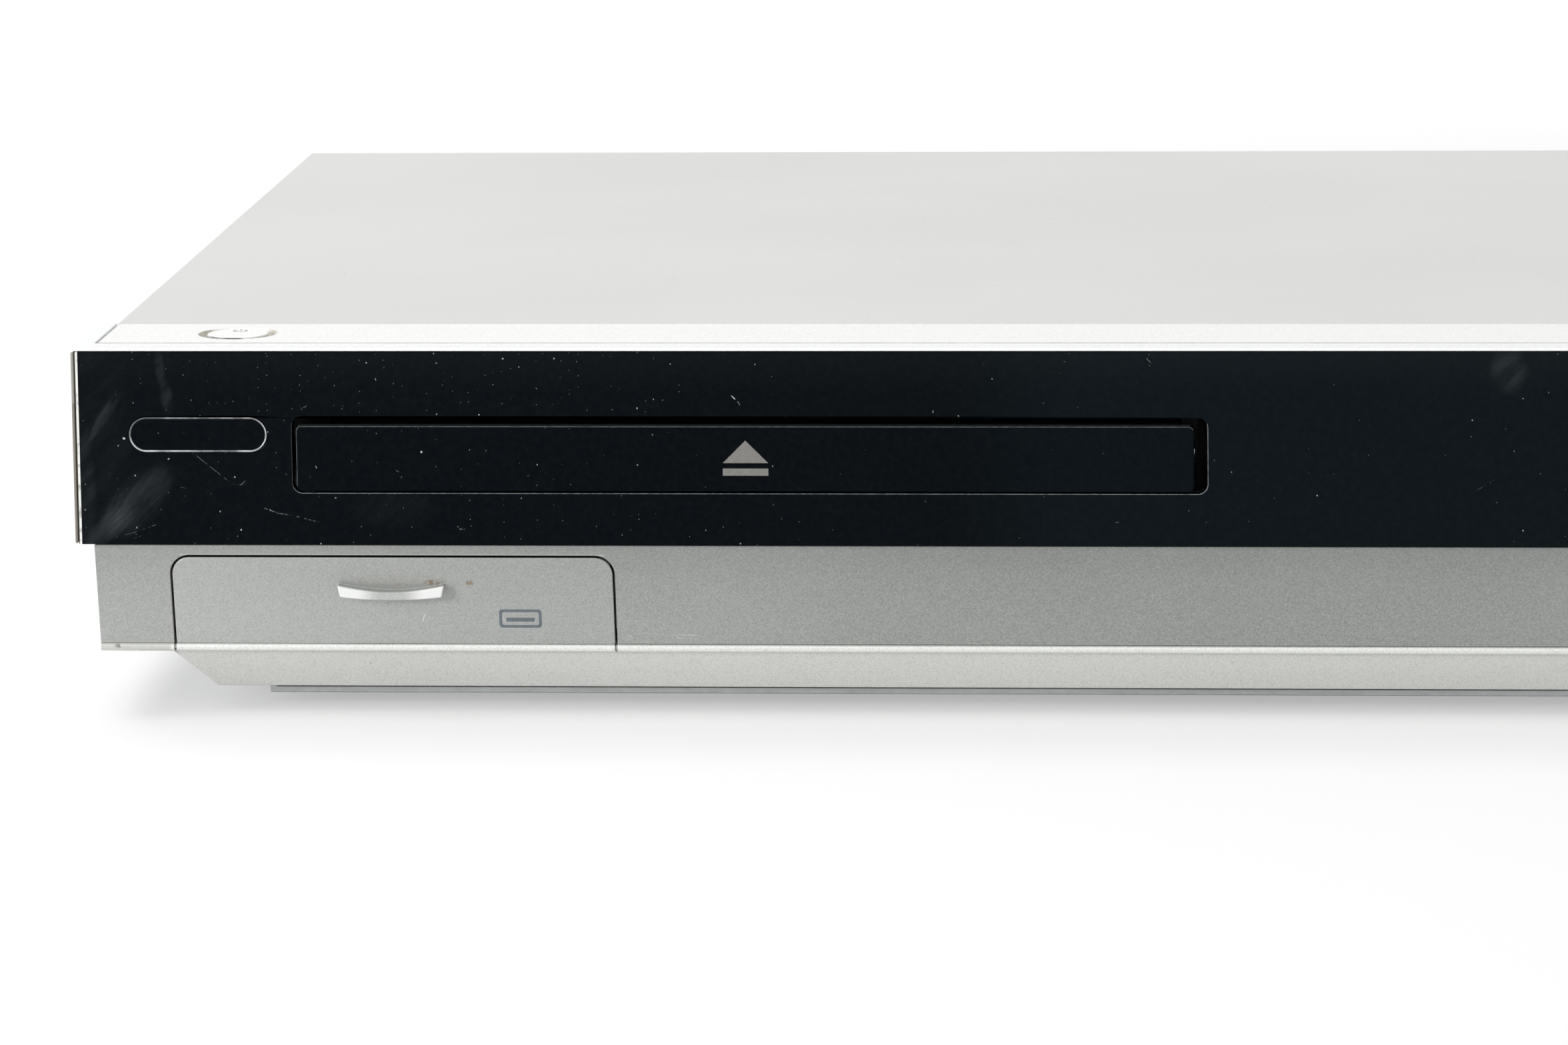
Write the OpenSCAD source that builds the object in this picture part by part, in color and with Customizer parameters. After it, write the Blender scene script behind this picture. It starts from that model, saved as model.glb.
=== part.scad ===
/* [Cabinet] */
// Overall width, across the front band
body_w = 430; // [424:1:460]
// Overall depth, from the front band to the ends of the rear jacks
body_d = 250; // [246:1:300]
// Overall height, from the table to the top of the front band
body_h = 58.5; // [57.5:0.5:66]
// Sheet thickness of the steel chassis, rear panel and cover
sheet = 1; // [0.8:0.1:1.2]
// Wall thickness of the moulded front
wall = 2.2; // [1.8:0.1:2.4]
// Clearance between separate pieces
gap = 0.3; // [0.2:0.05:0.4]
// Radial clearance of a shaft in its hole
running_fit = 0.05; // [0.02:0.01:0.08]
// How far the rear jacks stand out of the rear panel
jack_out = 8; // [6:0.5:10]

/* [Front band] */
// Height of the dark front band
band_h = 30.4; // [29:0.2:32]
// Thickness of the dark window
window_t = 2.5; // [2:0.1:3]
// Frame left showing at each end of the window
window_frame = 0.5; // [0.4:0.1:1]
// Rim left showing over the window
window_rim = 0.4; // [0.3:0.1:0.8]
// Depth of the strip along the front of the top
strip_d = 6.3; // [6:0.1:8]
// Width of the strip along each side of the top
cheek_w = 2.8; // [2.6:0.1:4]
// Length of the moulded front along each side
cheek_l = 27.2; // [26:0.2:40]

/* [Skirt and plinth] */
// How far the skirt's top lies behind the window's face
skirt_set = 0.6; // [0.4:0.1:1]
// How far the skirt leans back on its way down, in degrees
skirt_lean = 12.8; // [11:0.1:16]
// Radius of the lip along the skirt's bottom
lip_r = 0.8; // [0.7:0.05:1]
// Height of the chamfered plinth
plinth_h = 6.7; // [6:0.1:7.5]
// How far the plinth leans back on its way down
plinth_set = 4.4; // [3.6:0.1:6]
// How far the plinth's top lies in from each side of the band
plinth_in = 13.6; // [12:0.2:16]
// Height of the pressed platform under the chassis
platform_h = 1.6; // [1:0.1:2]
// How far the platform lies in from each side of the band
platform_in = 28; // [24:1:34]
// Height of the rubber feet
foot_h = 2.4; // [2:0.1:5]
// Diameter of the rubber feet
foot_d = 18; // [14:1:22]

/* [Tray] */
// Centre of the tray opening, in from the left end of the band
opening_in = 104.45; // [103:0.5:110]
// Width of the tray opening
opening_w = 140.7; // [140:0.1:142]
// Height of the tray opening
opening_h = 11.7; // [11.4:0.1:12.4]
// Corner radius of the tray opening
opening_r = 1.5; // [1:0.1:2]
// Height of the opening over the band's bottom edge
opening_z = 7.94; // [7:0.1:9]
// Width of the tray door
door_w = 138.1; // [137:0.1:139]
// Height of the tray door
door_h = 10.2; // [9.8:0.1:10.6]
// Corner radius of the tray door
door_r = 0.8; // [0.7:0.1:1]
// Thickness of the tray door
door_t = 2.4; // [2:0.1:2.5]
// Width of the tray behind its door
tray_w = 132; // [130:0.5:134]
// Length of the tray behind its door
tray_l = 158; // [156:1:160]
// Height of the tray
tray_h = 8; // [7.8:0.1:8.2]
// Depth of the ribs under the tray
tray_rib = 2.9; // [2.7:0.1:3]
// Diameter of the large disc's recess
disc_d = 121.6; // [121:0.1:123]
// Depth of the large disc's recess
disc_recess = 2.3; // [2:0.1:2.6]
// Diameter of the small disc's recess
small_disc_d = 81.6; // [81:0.1:83]
// Depth of the small disc's recess
small_recess = 3.3; // [3:0.1:3.4]
// Distance from the tray's front edge to the disc's centre
disc_y = 75; // [72:0.5:78]

/* [Loader] */
// Wall thickness of the loader frame
loader_wall = 2.5; // [2:0.1:3]
// Distance from the front of the band to the loader frame
loader_y = 20; // [19:0.5:21]
// Length of the loader frame
loader_l = 176; // [174:1:184]
// Height of the loader frame over the chassis floor
loader_lift = 4.5; // [3:0.5:5]
// Gear module of the tray drive
drive_m = 0.8; // [0.75:0.05:0.85]
// Teeth of the tray drive gear
drive_teeth = 36; // [36:4:36]
// Teeth of the pulley gear's pinion
pinion_teeth = 16; // [16:4:16]
// Groove radius of the large pulley
pulley_r = 12; // [11:0.5:12.5]
// Groove radius of the motor pulley
motor_pulley_r = 3; // [2.5:0.5:3.5]
// Thickness of the square drive belt
belt_t = 1.2; // [1:0.1:1.4]
// Radius of the posts that the loader's gears turn on
post_r = 1.5; // [1.2:0.1:1.8]

/* [Optical deck] */
// Angle that the deck drops through to free the tray, in degrees
lift_deg = 4.6; // [4.5:0.1:5]
// Width of the deck plate
deck_w = 100; // [98:1:102]
// Distance from the spindle back to the deck's pivot
pivot_y = 86.3; // [85:0.5:89]
// Diameter of the turntable
turntable_d = 30; // [28:0.5:30]
// Diameter of the clamping disc
clamper_d = 30; // [28:0.5:32]
// Distance from the spindle to the lens at its innermost
lens_in = 24.5; // [24.5:0.5:26]
// Travel of the pickup along its rods
sled_travel = 33.5; // [30:0.5:34]
// Radius of the pickup's guide rods
rod_r = 1.5; // [1.2:0.1:1.6]
// Gear module of the pickup feed
feed_m = 0.5; // [0.5:0.05:0.5]
// Teeth of the feed gear
feed_teeth = 32; // [32:4:32]
// Travel of the cam slider that lifts the deck
cam_travel = 20; // [19:0.5:21]

/* [Buttons and socket door] */
// Centre of the power button, in from the left end of the band
power_x = 23.4; // [22:0.1:26]
// Centre line of the top buttons, behind the front of the band
button_y = 17.5; // [16:0.1:20]
// Diameter of the power button
power_d = 9.6; // [9:0.1:10]
// Width of the power button's bevelled rim
power_rim = 0.15; // [0.1:0.05:0.4]
// Diameter of the dish round the power button
dish_d = 12.2; // [11.8:0.1:13]
// Distance between the small buttons at the right
button_pitch = 22; // [20:0.5:26]
// Width of the small buttons
button_w = 14; // [12:0.5:15]
// Depth of the small buttons
button_d = 5; // [4.5:0.1:6]
// Left edge of the socket door, in from the left end of the band
flap_x = 14.7; // [14:0.1:16]
// Width of the socket door
flap_w = 68.5; // [60:0.5:72]
// Distance from the skirt's top to the socket door
flap_top = 2; // [1.6:0.1:3]
// Corner radius of the socket door
flap_r = 2.8; // [2:0.1:4]
// Thickness of the socket door
flap_t = 1.8; // [1.6:0.1:2]
// Width of the finger tab on the socket door
tab_w = 16.6; // [14:0.2:20]
// How far the finger tab stands out
tab_out = 2; // [1.6:0.1:2.2]

/* [Electronics] */
// Thickness of the circuit boards
board_t = 1.6; // [1.2:0.1:1.8]
// Height of the board standoffs
standoff_h = 6.5; // [5:0.5:7]
// Distance from the loader to the main board
main_side = 14.38; // [10:0.1:16]
// Distance from the main board to the power board
board_side = 13; // [8:0.5:16]
// Depth of the main board
main_d = 150; // [130:1:165]
// Width of the power board
power_board_w = 82; // [78:1:88]
// Depth of the power board
power_board_d = 140; // [120:1:160]
// Outer radius of the phono jacks' sleeves
phono_r = 4.15; // [4:0.05:4.3]
// Distance between neighbouring phono jacks
phono_pitch = 14; // [13:0.5:15]

/* [Hidden] */
$fn = 48;

silver = [0.66, 0.67, 0.65];
dark = [0.07, 0.08, 0.09];
steel = [0.72, 0.73, 0.74];
pcb = [0.12, 0.38, 0.22];
black = [0.12, 0.12, 0.13];
natural = [0.86, 0.85, 0.80];

// Heights, from the table up
yf = -body_d / 2;
y_rear = body_d / 2 - jack_out;
z_plinth = foot_h + platform_h;
z_lip = z_plinth + plinth_h;
z_band = body_h - band_h;
z_floor = foot_h + sheet;

// Feet, pressed into holes of the chassis
foot_x = 150;
foot_places = [48, 205];
foot_stem_r = 2;

// The skirt's face, and the centre of the rounded lip under it
cab_x = body_w / 2 - cheek_w;
skirt_z1 = z_band - gap;
skirt_lean_y = tan(skirt_lean);
lip_z = z_lip + lip_r * 0.6;
skirt_z0 = lip_z + lip_r * 0.6;
skirt_y0 = skirt_set + (skirt_z1 - skirt_z0) * skirt_lean_y;
lip_y = skirt_y0 + lip_r * 0.5;
plinth_x = body_w / 2 - plinth_in;
plinth_y = lip_y + lip_r * 0.5;
plinth_wall = wall / cos(atan(plinth_set / plinth_h));
plinth_bar_y = plinth_y + plinth_set + plinth_wall;

// Tray and loader
opening_x = -body_w / 2 + opening_in;
door_x = opening_x - opening_w / 2 + 0.57 + door_w / 2;
door_z = z_band + opening_z + 0.2;
z_open = z_band + opening_z;
door_y = 0.2;
tray_y = door_y + door_t;
z_tray = z_open + 0.56;
z_tray_top = z_tray + tray_h;
z_under = z_tray + tray_rib;
lx = tray_w / 2 + 0.4;
loader_z = z_floor + loader_lift;
loader_floor = 2;
loader_ears = [14, loader_l - 14];
ear_x = 2.8;
slot_r = 18;
slot_l = 66;
ledge = 4;
z_shelf = z_tray - 6.6;
shelf_t = 2;
shelf_y = 35;
disc_cy = tray_y + disc_y;

// Tray drive: module, pitch radii and centres
drive_r = drive_m * drive_teeth / 2;
pinion_r = drive_m * pinion_teeth / 2;
drive_x = door_x + 40.6;
drive_y = loader_y + 5;
rack_x = drive_x + drive_r;
rack_w = 3;
pulley_x = drive_x - drive_r - pinion_r;
motor_x = door_x - 48;
motor_y = loader_y + loader_wall + 12.2;
motor_r = 11;
motor_h = 12;
shaft_r = 1;
gear_top = z_under - gap;
gear_z = gear_top - 4.2;
pulley_z = z_shelf + 0.6;
pulley_h = 3.8;
backlash = 0.16;
pressure = 20;

// Optical deck, drawn in its raised place and then dropped about its pivot
deck_z = z_tray - 12.6;
deck_t = 2;
deck_y0 = disc_cy - 21.7;
deck_y1 = disc_cy + pivot_y + 4;
pivot_cy = disc_cy + pivot_y;
pivot_r = 2;
turn_z = z_tray + 6.9;
cone_h = 1.4;
lens_z = z_tray + 4.7;
sled_z0 = deck_z + 2.5;
sled_z1 = deck_z + 14;
rod_z = deck_z + 5;
rod_x_off = 24;
sled_front = 8.5;
sled_l = 29.5;
feed_r = feed_m * feed_teeth / 2;
feed_pinion_r = feed_m * pinion_teeth / 2;
feed_x = door_x - 30 - feed_r;
feed_rack_y0 = lens_in - sled_front + 0.5;
feed_y = disc_cy + feed_rack_y0 + sled_travel + 3;
feed_z = deck_z + 7;
feed_h = 3;
feed_motor_y = feed_y - feed_r - feed_pinion_r;
lens_pocket = [7, 6];
pin_x = 30;
pin_r = 1.5;
cam_t = 3;
cam_y = deck_y0 - 8;
pin_drop = (pivot_cy - cam_y - cam_t / 2) * tan(lift_deg);
cam_z0 = deck_z - pin_drop - 3.4;
cam_z1 = deck_z + 3.4;

// Clamp over the disc
clamp_z = z_tray_top + 0.4;
clamp_t = 2.1;
bridge_z = clamp_z + clamp_t + 0.5;
bridge_t = 1.2;
clamper_hub_r = 9;

// Top deck with its buttons
deck_top = body_h - 0.2;
top_t = 2.2;
top_z = deck_top - top_t;
power_cx = -body_w / 2 + power_x;
button_x0 = body_w / 2 - 92;
switch_z = top_z - 6.3;
press = 0.5;

// Socket door and its bay
flap_x0 = -body_w / 2 + flap_x;
flap_x1 = flap_x0 + flap_w;
flap_z1 = skirt_z1 - flap_top;
tab_x = flap_x0 + flap_w / 2 - 0.1;
tab_z = skirt_z0 + 8.9;

// Boards
board_z = z_floor + standoff_h;
main_x0 = door_x + lx + loader_wall + main_side;
main_y1 = body_d - jack_out - sheet - gap;
power_x1 = body_w / 2 - platform_in - 2;

// Window, badge and what stands behind them
window_y = 0.2;
window_x = body_w / 2 - window_frame;
badge_x = -body_w / 2 + 8.8;
badge_w = 21.4;
badge_h = 5.4;
badge_lift = 3.2;
badge_z = z_open + opening_h / 2 + badge_lift - badge_h / 2;
front_board_y = 9.4;
front_board_z = z_band + 3.4;
front_board_h = 16;
board_posts = [24, 106, 188];
display_x0 = 36;
display_w = 64;
display_z = front_board_z + 2;
display_h = 12;
ir_x = 140;
ir_z = front_board_z + 8;
switch_boards_x = [[power_cx - 10, power_cx + 8], [button_x0 - 10, button_x0 + 2 * button_pitch + 10]];
switch_h = 4.2;
stem_z = switch_z + switch_h + press + 0.1;

// Socket door's hinge, bay and socket
hinge_pin_l = 1.5;
hinge_pin_r = 0.4;
bay_z0 = skirt_z0 + 2.2;
bay_z1 = flap_z1 - 2.2;
bay_y1 = 15;
usb_w = 13.1;
usb_h = 5.7;
usb_x = flap_x0 + 6;
usb_z = (bay_z0 + bay_z1 - usb_h) / 2;

// Boards and their connectors
board_top = board_z + board_t;
main_y = [yf + main_y1 - main_d, yf + main_y1];
power_board_x = [power_x1 - power_board_w, power_x1];
main_x = [main_x0, power_board_x[0] - board_side];
power_board_y = [y_rear - sheet - gap - power_board_d, y_rear - sheet - gap];
phono_collar = 0.4;
audio_x = main_x0 + 4;
video_x = audio_x + 3 * phono_pitch + 6;
hdmi_x = video_x + 3 * phono_pitch + 11;
inlet_x = power_board_x[1] - 26;
inlet_z = board_top + 8;
disc_row = yf + disc_cy + 40;

// A block given by its lowest and highest place along each axis
module block(x, y, z) {
    translate([x[0], y[0], z[0]])
        cube([x[1] - x[0], y[1] - y[0], z[1] - z[0]]);
}

// Round bars along each axis
module bar_z(x, y, z, r) {
    translate([x, y, z[0]])
        cylinder(h = z[1] - z[0], r = r);
}
module bar_x(x, y, z, r) {
    translate([x[0], y, z])
        rotate([0, 90, 0])
            cylinder(h = x[1] - x[0], r = r);
}
module bar_y(x, y, z, r) {
    translate([x, y[1], z])
        rotate([90, 0, 0])
            cylinder(h = y[1] - y[0], r = r);
}

// An outline in Y and Z, drawn out along X, and one in X and Z, drawn out along Y
module along_x(x) {
    translate([x[0], 0, 0])
        rotate([90, 0, 90])
            linear_extrude(x[1] - x[0])
                children();
}
module along_y(y) {
    translate([0, y[1], 0])
        rotate([90, 0, 0])
            linear_extrude(y[1] - y[0])
                children();
}

// A block with rounded upright edges
module slab(x, y, z, r) {
    block([x[0] + r, x[1] - r], y, z);
    block(x, [y[0] + r, y[1] - r], z);
    for (cx = [x[0] + r, x[1] - r])
        for (cy = [y[0] + r, y[1] - r])
            bar_z(cx, cy, z, r);
}

// A block whose edges along Y are rounded
module panel_block(x, y, z, r) {
    block([x[0] + r, x[1] - r], y, z);
    block(x, y, [z[0] + r, z[1] - r]);
    for (cx = [x[0] + r, x[1] - r])
        for (cz = [z[0] + r, z[1] - r])
            bar_y(cx, y, cz, r);
}

module both_sides() {
    children();
    mirror([1, 0, 0])
        children();
}

// Involute gear outline with shortened tips; a tooth lies on the X axis
function inv(a) = tan(a) * 180 / PI - a;
function half_tooth(r, rp, n) =
    90 / n - backlash / 2 / rp * 90 / PI + inv(pressure)
    - inv(acos(min(1, rp * cos(pressure) / r)));
module gear_outline(n, m) {
    rp = n * m / 2;
    tip = rp + 0.8 * m;
    root = rp - 1.1 * m;
    base = max(root, rp * cos(pressure));
    radii = concat([root], [for (i = [0:4]) base + (tip - base) * i / 4]);
    polygon([
        for (k = [0:n - 1])
            for (j = [0:11])
                let (i = j < 6 ? j : 11 - j)
                    let (a = 360 / n * k + (j < 6 ? -1 : 1) * half_tooth(max(radii[i], base), rp, n))
                        radii[i] * [cos(a), sin(a)]
    ]);
}

// Rack outline: teeth along Y that point towards -X, with a gap centred on mid
module rack_outline(m, y0, y1, mid, back) {
    pitch = PI * m;
    tip = pitch / 4 - backlash / 2 - 0.8 * m * tan(pressure);
    foot = pitch / 4 - backlash / 2 + 1.1 * m * tan(pressure);
    first = ceil((y0 + foot - mid) / pitch - 0.5);
    last = floor((y1 - foot - mid) / pitch - 0.5);
    teeth = [
        for (k = [first:last])
            let (c = mid + (k + 0.5) * pitch)
                each [[1.1 * m, c - foot], [-0.8 * m, c - tip], [-0.8 * m, c + tip], [1.1 * m, c + foot]]
    ];
    polygon(concat([[back, y0], [1.1 * m, y0]], teeth, [[1.1 * m, y1], [back, y1]]));
}

// Drops the optical deck about its pivot
module lowered() {
    translate([0, yf + pivot_cy, deck_z])
        rotate([lift_deg, 0, 0])
            translate([0, -yf - pivot_cy, -deck_z])
                children();
}

// ---- Cabinet ----

// Half of the chassis section: outer path, then inner path back
function pan_path(s) = [
    [body_w / 2 - platform_in - s, foot_h + s],
    [body_w / 2 - platform_in - s, z_plinth + s],
    [plinth_x - plinth_h - s * tan(22.5), z_plinth + s],
    [plinth_x - s * tan(22.5), z_lip + s],
    [cab_x - wall - gap - s, z_lip + s],
    [cab_x - wall - gap - s, z_lip + 14]
];
function flip(p) = [for (i = [len(p) - 1:-1:0]) [-p[i][0], p[i][1]]];
function back(p) = [for (i = [len(p) - 1:-1:0]) p[i]];

module bottom_chassis() {
    outer = pan_path(0);
    inner = pan_path(sheet);
    color(steel)
        difference() {
            along_y([yf + plinth_bar_y + gap, y_rear - sheet])
                polygon(concat(outer, back(inner), back(flip(inner)), flip(outer)));
            both_sides()
                for (y = foot_places)
                    bar_z(foot_x, yf + y, [foot_h - 1, z_floor + 1], foot_stem_r + running_fit);
            for (x = [-150:12:-60])
                block([x, x + 4], [yf + 90, yf + 130], [foot_h - 1, z_floor + 1]);
            both_sides()
                for (y = [70, 200])
                    bar_x([cab_x - 8, cab_x], yf + y, z_lip + 9, post_r);
        }
}

module rear_panel() {
    x1 = cab_x - sheet - gap;
    z1 = deck_top - sheet - gap;
    color(steel)
        difference() {
            union() {
                along_y([y_rear - sheet, y_rear])
                    polygon([
                        [plinth_x - plinth_h, z_plinth], [plinth_x, z_lip], [x1, z_lip], [x1, z1],
                        [-x1, z1], [-x1, z_lip], [-plinth_x, z_lip], [-plinth_x + plinth_h, z_plinth]
                    ]);
                block([-x1 + 8, x1 - 8], [y_rear - 9, y_rear - sheet], [z1 - sheet, z1]);
            }
            rear_cutouts();
            for (x = [-180, 0, 180])
                bar_y(x, [y_rear - 2, y_rear + 1], z1 - 5, post_r);
            for (k = [0:9])
                block([96 + k * 6, 99 + k * 6], [y_rear - 2, y_rear + 1], [36, 50]);
        }
}

module top_cover() {
    y0 = yf + cheek_l + gap;
    y1 = y_rear + gap + sheet;
    x1 = cab_x;
    color(steel)
        difference() {
            block([-x1, x1], [y0, y1], [z_lip, deck_top]);
            block([-x1 + sheet, x1 - sheet], [y0 - 1, y1 - sheet], [z_lip - 1, deck_top - sheet]);
            block([-x1 + sheet, x1 - sheet], [y0 - 1, y1 + 1], [z_lip - 1, deck_top - 9]);
            for (k = [0:13])
                slab([100 + k * 6, 103 + k * 6], [yf + 150, yf + 190],
                    [deck_top - sheet - 1, deck_top + 1], 1.4);
            both_sides()
                for (k = [0:9])
                    block([x1 - sheet - 1, x1 + 1], [yf + 110 + k * 6, yf + 113 + k * 6], [26, 44]);
            both_sides()
                for (y = [70, 200])
                    bar_x([x1 - 3, x1 + 1], yf + y, z_lip + 9, post_r + 0.2);
            for (x = [-180, 0, 180])
                bar_y(x, [y1 - 2, y1 + 1], deck_top - sheet - gap - 5, post_r + 0.2);
        }
}

module screw(r, head_r, head_h, l) {
    cylinder(h = l, r = r);
    translate([0, 0, -head_h])
        difference() {
            cylinder(h = head_h, r = head_r);
            translate([-head_r * 0.6, -0.35, -1])
                cube([head_r * 1.2, 0.7, 1 + head_h * 0.5]);
            translate([-0.35, -head_r * 0.6, -1])
                cube([0.7, head_r * 1.2, 1 + head_h * 0.5]);
        }
}

module cover_screws() {
    color(steel) {
        both_sides()
            for (y = [70, 200])
                translate([cab_x, yf + y, z_lip + 9])
                    rotate([0, -90, 0])
                        screw(post_r, 3, 1.6, 6);
        for (x = [-180, 0, 180])
            translate([x, y_rear + gap + sheet, deck_top - sheet - gap - 5])
                rotate([90, 0, 0])
                    screw(post_r, 3, 1.6, 6);
    }
}

module feet() {
    color(black)
        both_sides()
            for (y = foot_places)
                translate([foot_x, yf + y, 0])
                    difference() {
                        union() {
                            cylinder(h = foot_h, d = foot_d);
                            cylinder(h = z_floor + 1.5, r = foot_stem_r);
                        }
                        translate([0, 0, -1])
                            cylinder(h = 2, r = 4);
                    }
}

// ---- Moulded front ----

function skirt_y(z) = skirt_y0 - (z - skirt_z0) * skirt_lean_y;
function along_skirt(t) = t / cos(skirt_lean);

module flap_outline(extra, y) {
    panel_block([flap_x0 - extra, flap_x1 + extra], y,
        [skirt_z0 - flap_r - 1, flap_z1 + extra], flap_r + extra);
}

module tray_opening(extra, y) {
    panel_block([opening_x - opening_w / 2 - extra, opening_x + opening_w / 2 + extra], y,
        [z_open - extra, z_open + opening_h + extra], opening_r);
}

module fascia_shell() {
    block([-body_w / 2, body_w / 2], [yf, yf + cheek_l], [z_band, body_h]);
    along_x([-cab_x, cab_x])
        polygon([
            [yf + skirt_y(skirt_z1), skirt_z1], [yf + skirt_y0, skirt_z0], [yf + lip_y, z_lip],
            [yf + cheek_l, z_lip], [yf + cheek_l, z_band + 1], [yf + window_t + 1, z_band + 1],
            [yf + window_t + 1, skirt_z1]
        ]);
    bar_x([-cab_x, cab_x], yf + lip_y, lip_z, lip_r);
    intersection() {
        along_x([-cab_x, cab_x])
            polygon([
                [yf + lip_y, z_lip + 1], [yf + plinth_y, z_lip], [yf + plinth_y + plinth_set, z_plinth],
                [yf + plinth_bar_y, z_plinth], [yf + plinth_bar_y, z_lip + 1]
            ]);
        along_y([yf, yf + cheek_l])
            polygon([
                [plinth_x + 1, z_lip + 1], [plinth_x, z_lip], [plinth_x - plinth_h, z_plinth],
                [-plinth_x + plinth_h, z_plinth], [-plinth_x, z_lip], [-plinth_x - 1, z_lip + 1]
            ]);
    }
}

module fascia() {
    wall_y = window_y + window_t + 0.1;
    hollow_y = wall_y + wall + gap;
    inner_x = cab_x - wall;
    lap = along_skirt(wall);
    color(silver)
        difference() {
            union() {
                difference() {
                    fascia_shell();
                    block([-window_x - 0.05, window_x + 0.05], [yf - 1, yf + wall_y],
                        [skirt_z1, body_h - window_rim]);
                    block([-cab_x, cab_x], [yf + strip_d, yf + cheek_l + 1], [top_z, body_h + 1]);
                    block([-inner_x, inner_x], [yf + strip_d + 1, yf + cheek_l + 1],
                        [z_band + wall, top_z + 1]);
                    block([-inner_x, inner_x], [yf + hollow_y, yf + strip_d + 2], [z_band + wall, top_z - wall]);
                    along_x([-inner_x, inner_x])
                        polygon([
                            [yf + hollow_y, z_band + wall + 1], [yf + hollow_y, z_band],
                            [yf + skirt_y(skirt_z0) + lap, skirt_z0 + 1],
                            [yf + cheek_l + 1, skirt_z0 + 1], [yf + cheek_l + 1, z_band + wall + 1]
                        ]);
                    block([-inner_x, inner_x], [yf + plinth_bar_y, yf + cheek_l + 1], [z_plinth - 1, z_band]);
                    along_x([-plinth_x + plinth_h + wall, plinth_x - plinth_h - wall])
                        polygon([
                            [yf + plinth_y + plinth_wall, z_lip], [yf + plinth_bar_y + 1, z_lip],
                            [yf + plinth_bar_y + 1, z_plinth - 1],
                            [yf + plinth_bar_y, z_plinth - 0.1]
                        ]);
                    flap_cut();
                }
                bay_shell();
                for (x = board_posts)
                    for (z = [front_board_z + 3, front_board_z + front_board_h - 3])
                        bar_y(x, [yf + hollow_y - 1, yf + front_board_y], z, 2.5);
            }
            bay_space();
            tray_opening(0.4, [yf, yf + hollow_y + 1]);
            block([display_x0 - 1, display_x0 + display_w + 1], [yf, yf + hollow_y + 1],
                [display_z - 1, display_z + display_h + 1]);
            bar_y(ir_x, [yf, yf + hollow_y + 1], ir_z, 5);
            for (x = [flap_x0 - hinge_pin_l - gap, flap_x1 - 1])
                bar_x([x, x + hinge_pin_l + gap + 1], yf + lip_y, lip_z, hinge_pin_r + running_fit);
        }
}

// Space in the skirt for the socket door and its swing
module flap_cut() {
    flap_front = yf - 1;
    intersection() {
        flap_outline(gap, [flap_front, yf + 20]);
        along_x([flap_x0 - gap, flap_x1 + gap])
            polygon([
                [flap_front, lip_z - 0.3], [yf + lip_y + lip_r + 1.2, lip_z - 0.3],
                [yf + skirt_y(flap_z1 + 1) + 5, flap_z1 + 1], [flap_front, flap_z1 + 1]
            ]);
    }
    bar_x([flap_x0 - gap, flap_x1 + gap], yf + lip_y, lip_z, lip_r + gap);
}

// Tub behind the socket door, open towards it
module bay_shell() {
    skin = 1.5;
    start = along_skirt(flap_t + gap);
    intersection() {
        along_x([flap_x0 + 0.5, flap_x1 - 0.5])
            polygon([
                [yf + skirt_y(bay_z0 - skin) + start, bay_z0 - skin],
                [yf + bay_y1 + skin, bay_z0 - skin], [yf + bay_y1 + skin, bay_z1 + skin],
                [yf + skirt_y(bay_z1 + skin) + start, bay_z1 + skin]
            ]);
        block([flap_x0 + 0.5, flap_x1 - 0.5], [yf, yf + 40], [bay_z0 - skin, bay_z1 + skin]);
    }
    both_sides_of_flap()
        along_x([flap_x0 - 3, flap_x0 + 2])
            polygon([
                [yf + skirt_y(bay_z0) + along_skirt(wall) - 0.2, bay_z0],
                [yf + bay_y1, bay_z0], [yf + bay_y1, bay_z1],
                [yf + skirt_y(bay_z1) + along_skirt(wall) - 0.2, bay_z1]
            ]);
}

module both_sides_of_flap() {
    children();
    translate([flap_x0 + flap_x1, 0, 0])
        mirror([1, 0, 0])
            children();
}

module bay_space() {
    along_x([flap_x0 + 3, flap_x1 - 3])
        polygon([
            [yf, bay_z0], [yf + bay_y1, bay_z0], [yf + bay_y1, bay_z1], [yf, bay_z1]
        ]);
    block([usb_x - 0.3, usb_x + usb_w + 0.3], [yf + bay_y1 - 1, yf + bay_y1 + 3],
        [usb_z - 0.3, usb_z + usb_h + 0.3]);
}

module front_window() {
    color(dark)
        difference() {
            block([-window_x, window_x], [yf + window_y, yf + window_y + window_t],
                [skirt_z1 + 0.1, body_h - window_rim - 0.1]);
            tray_opening(0, [yf - 1, yf + window_t + 2]);
            panel_block([badge_x, badge_x + badge_w], [yf - 1, yf + window_y + 0.6],
                [badge_z, badge_z + badge_h], badge_h / 2 - 0.01);
        }
}

module badge_plate() {
    color("silver")
        panel_block([badge_x, badge_x + badge_w], [yf + 0.05, yf + window_y + 0.6],
            [badge_z, badge_z + badge_h], badge_h / 2 - 0.01);
}

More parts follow.
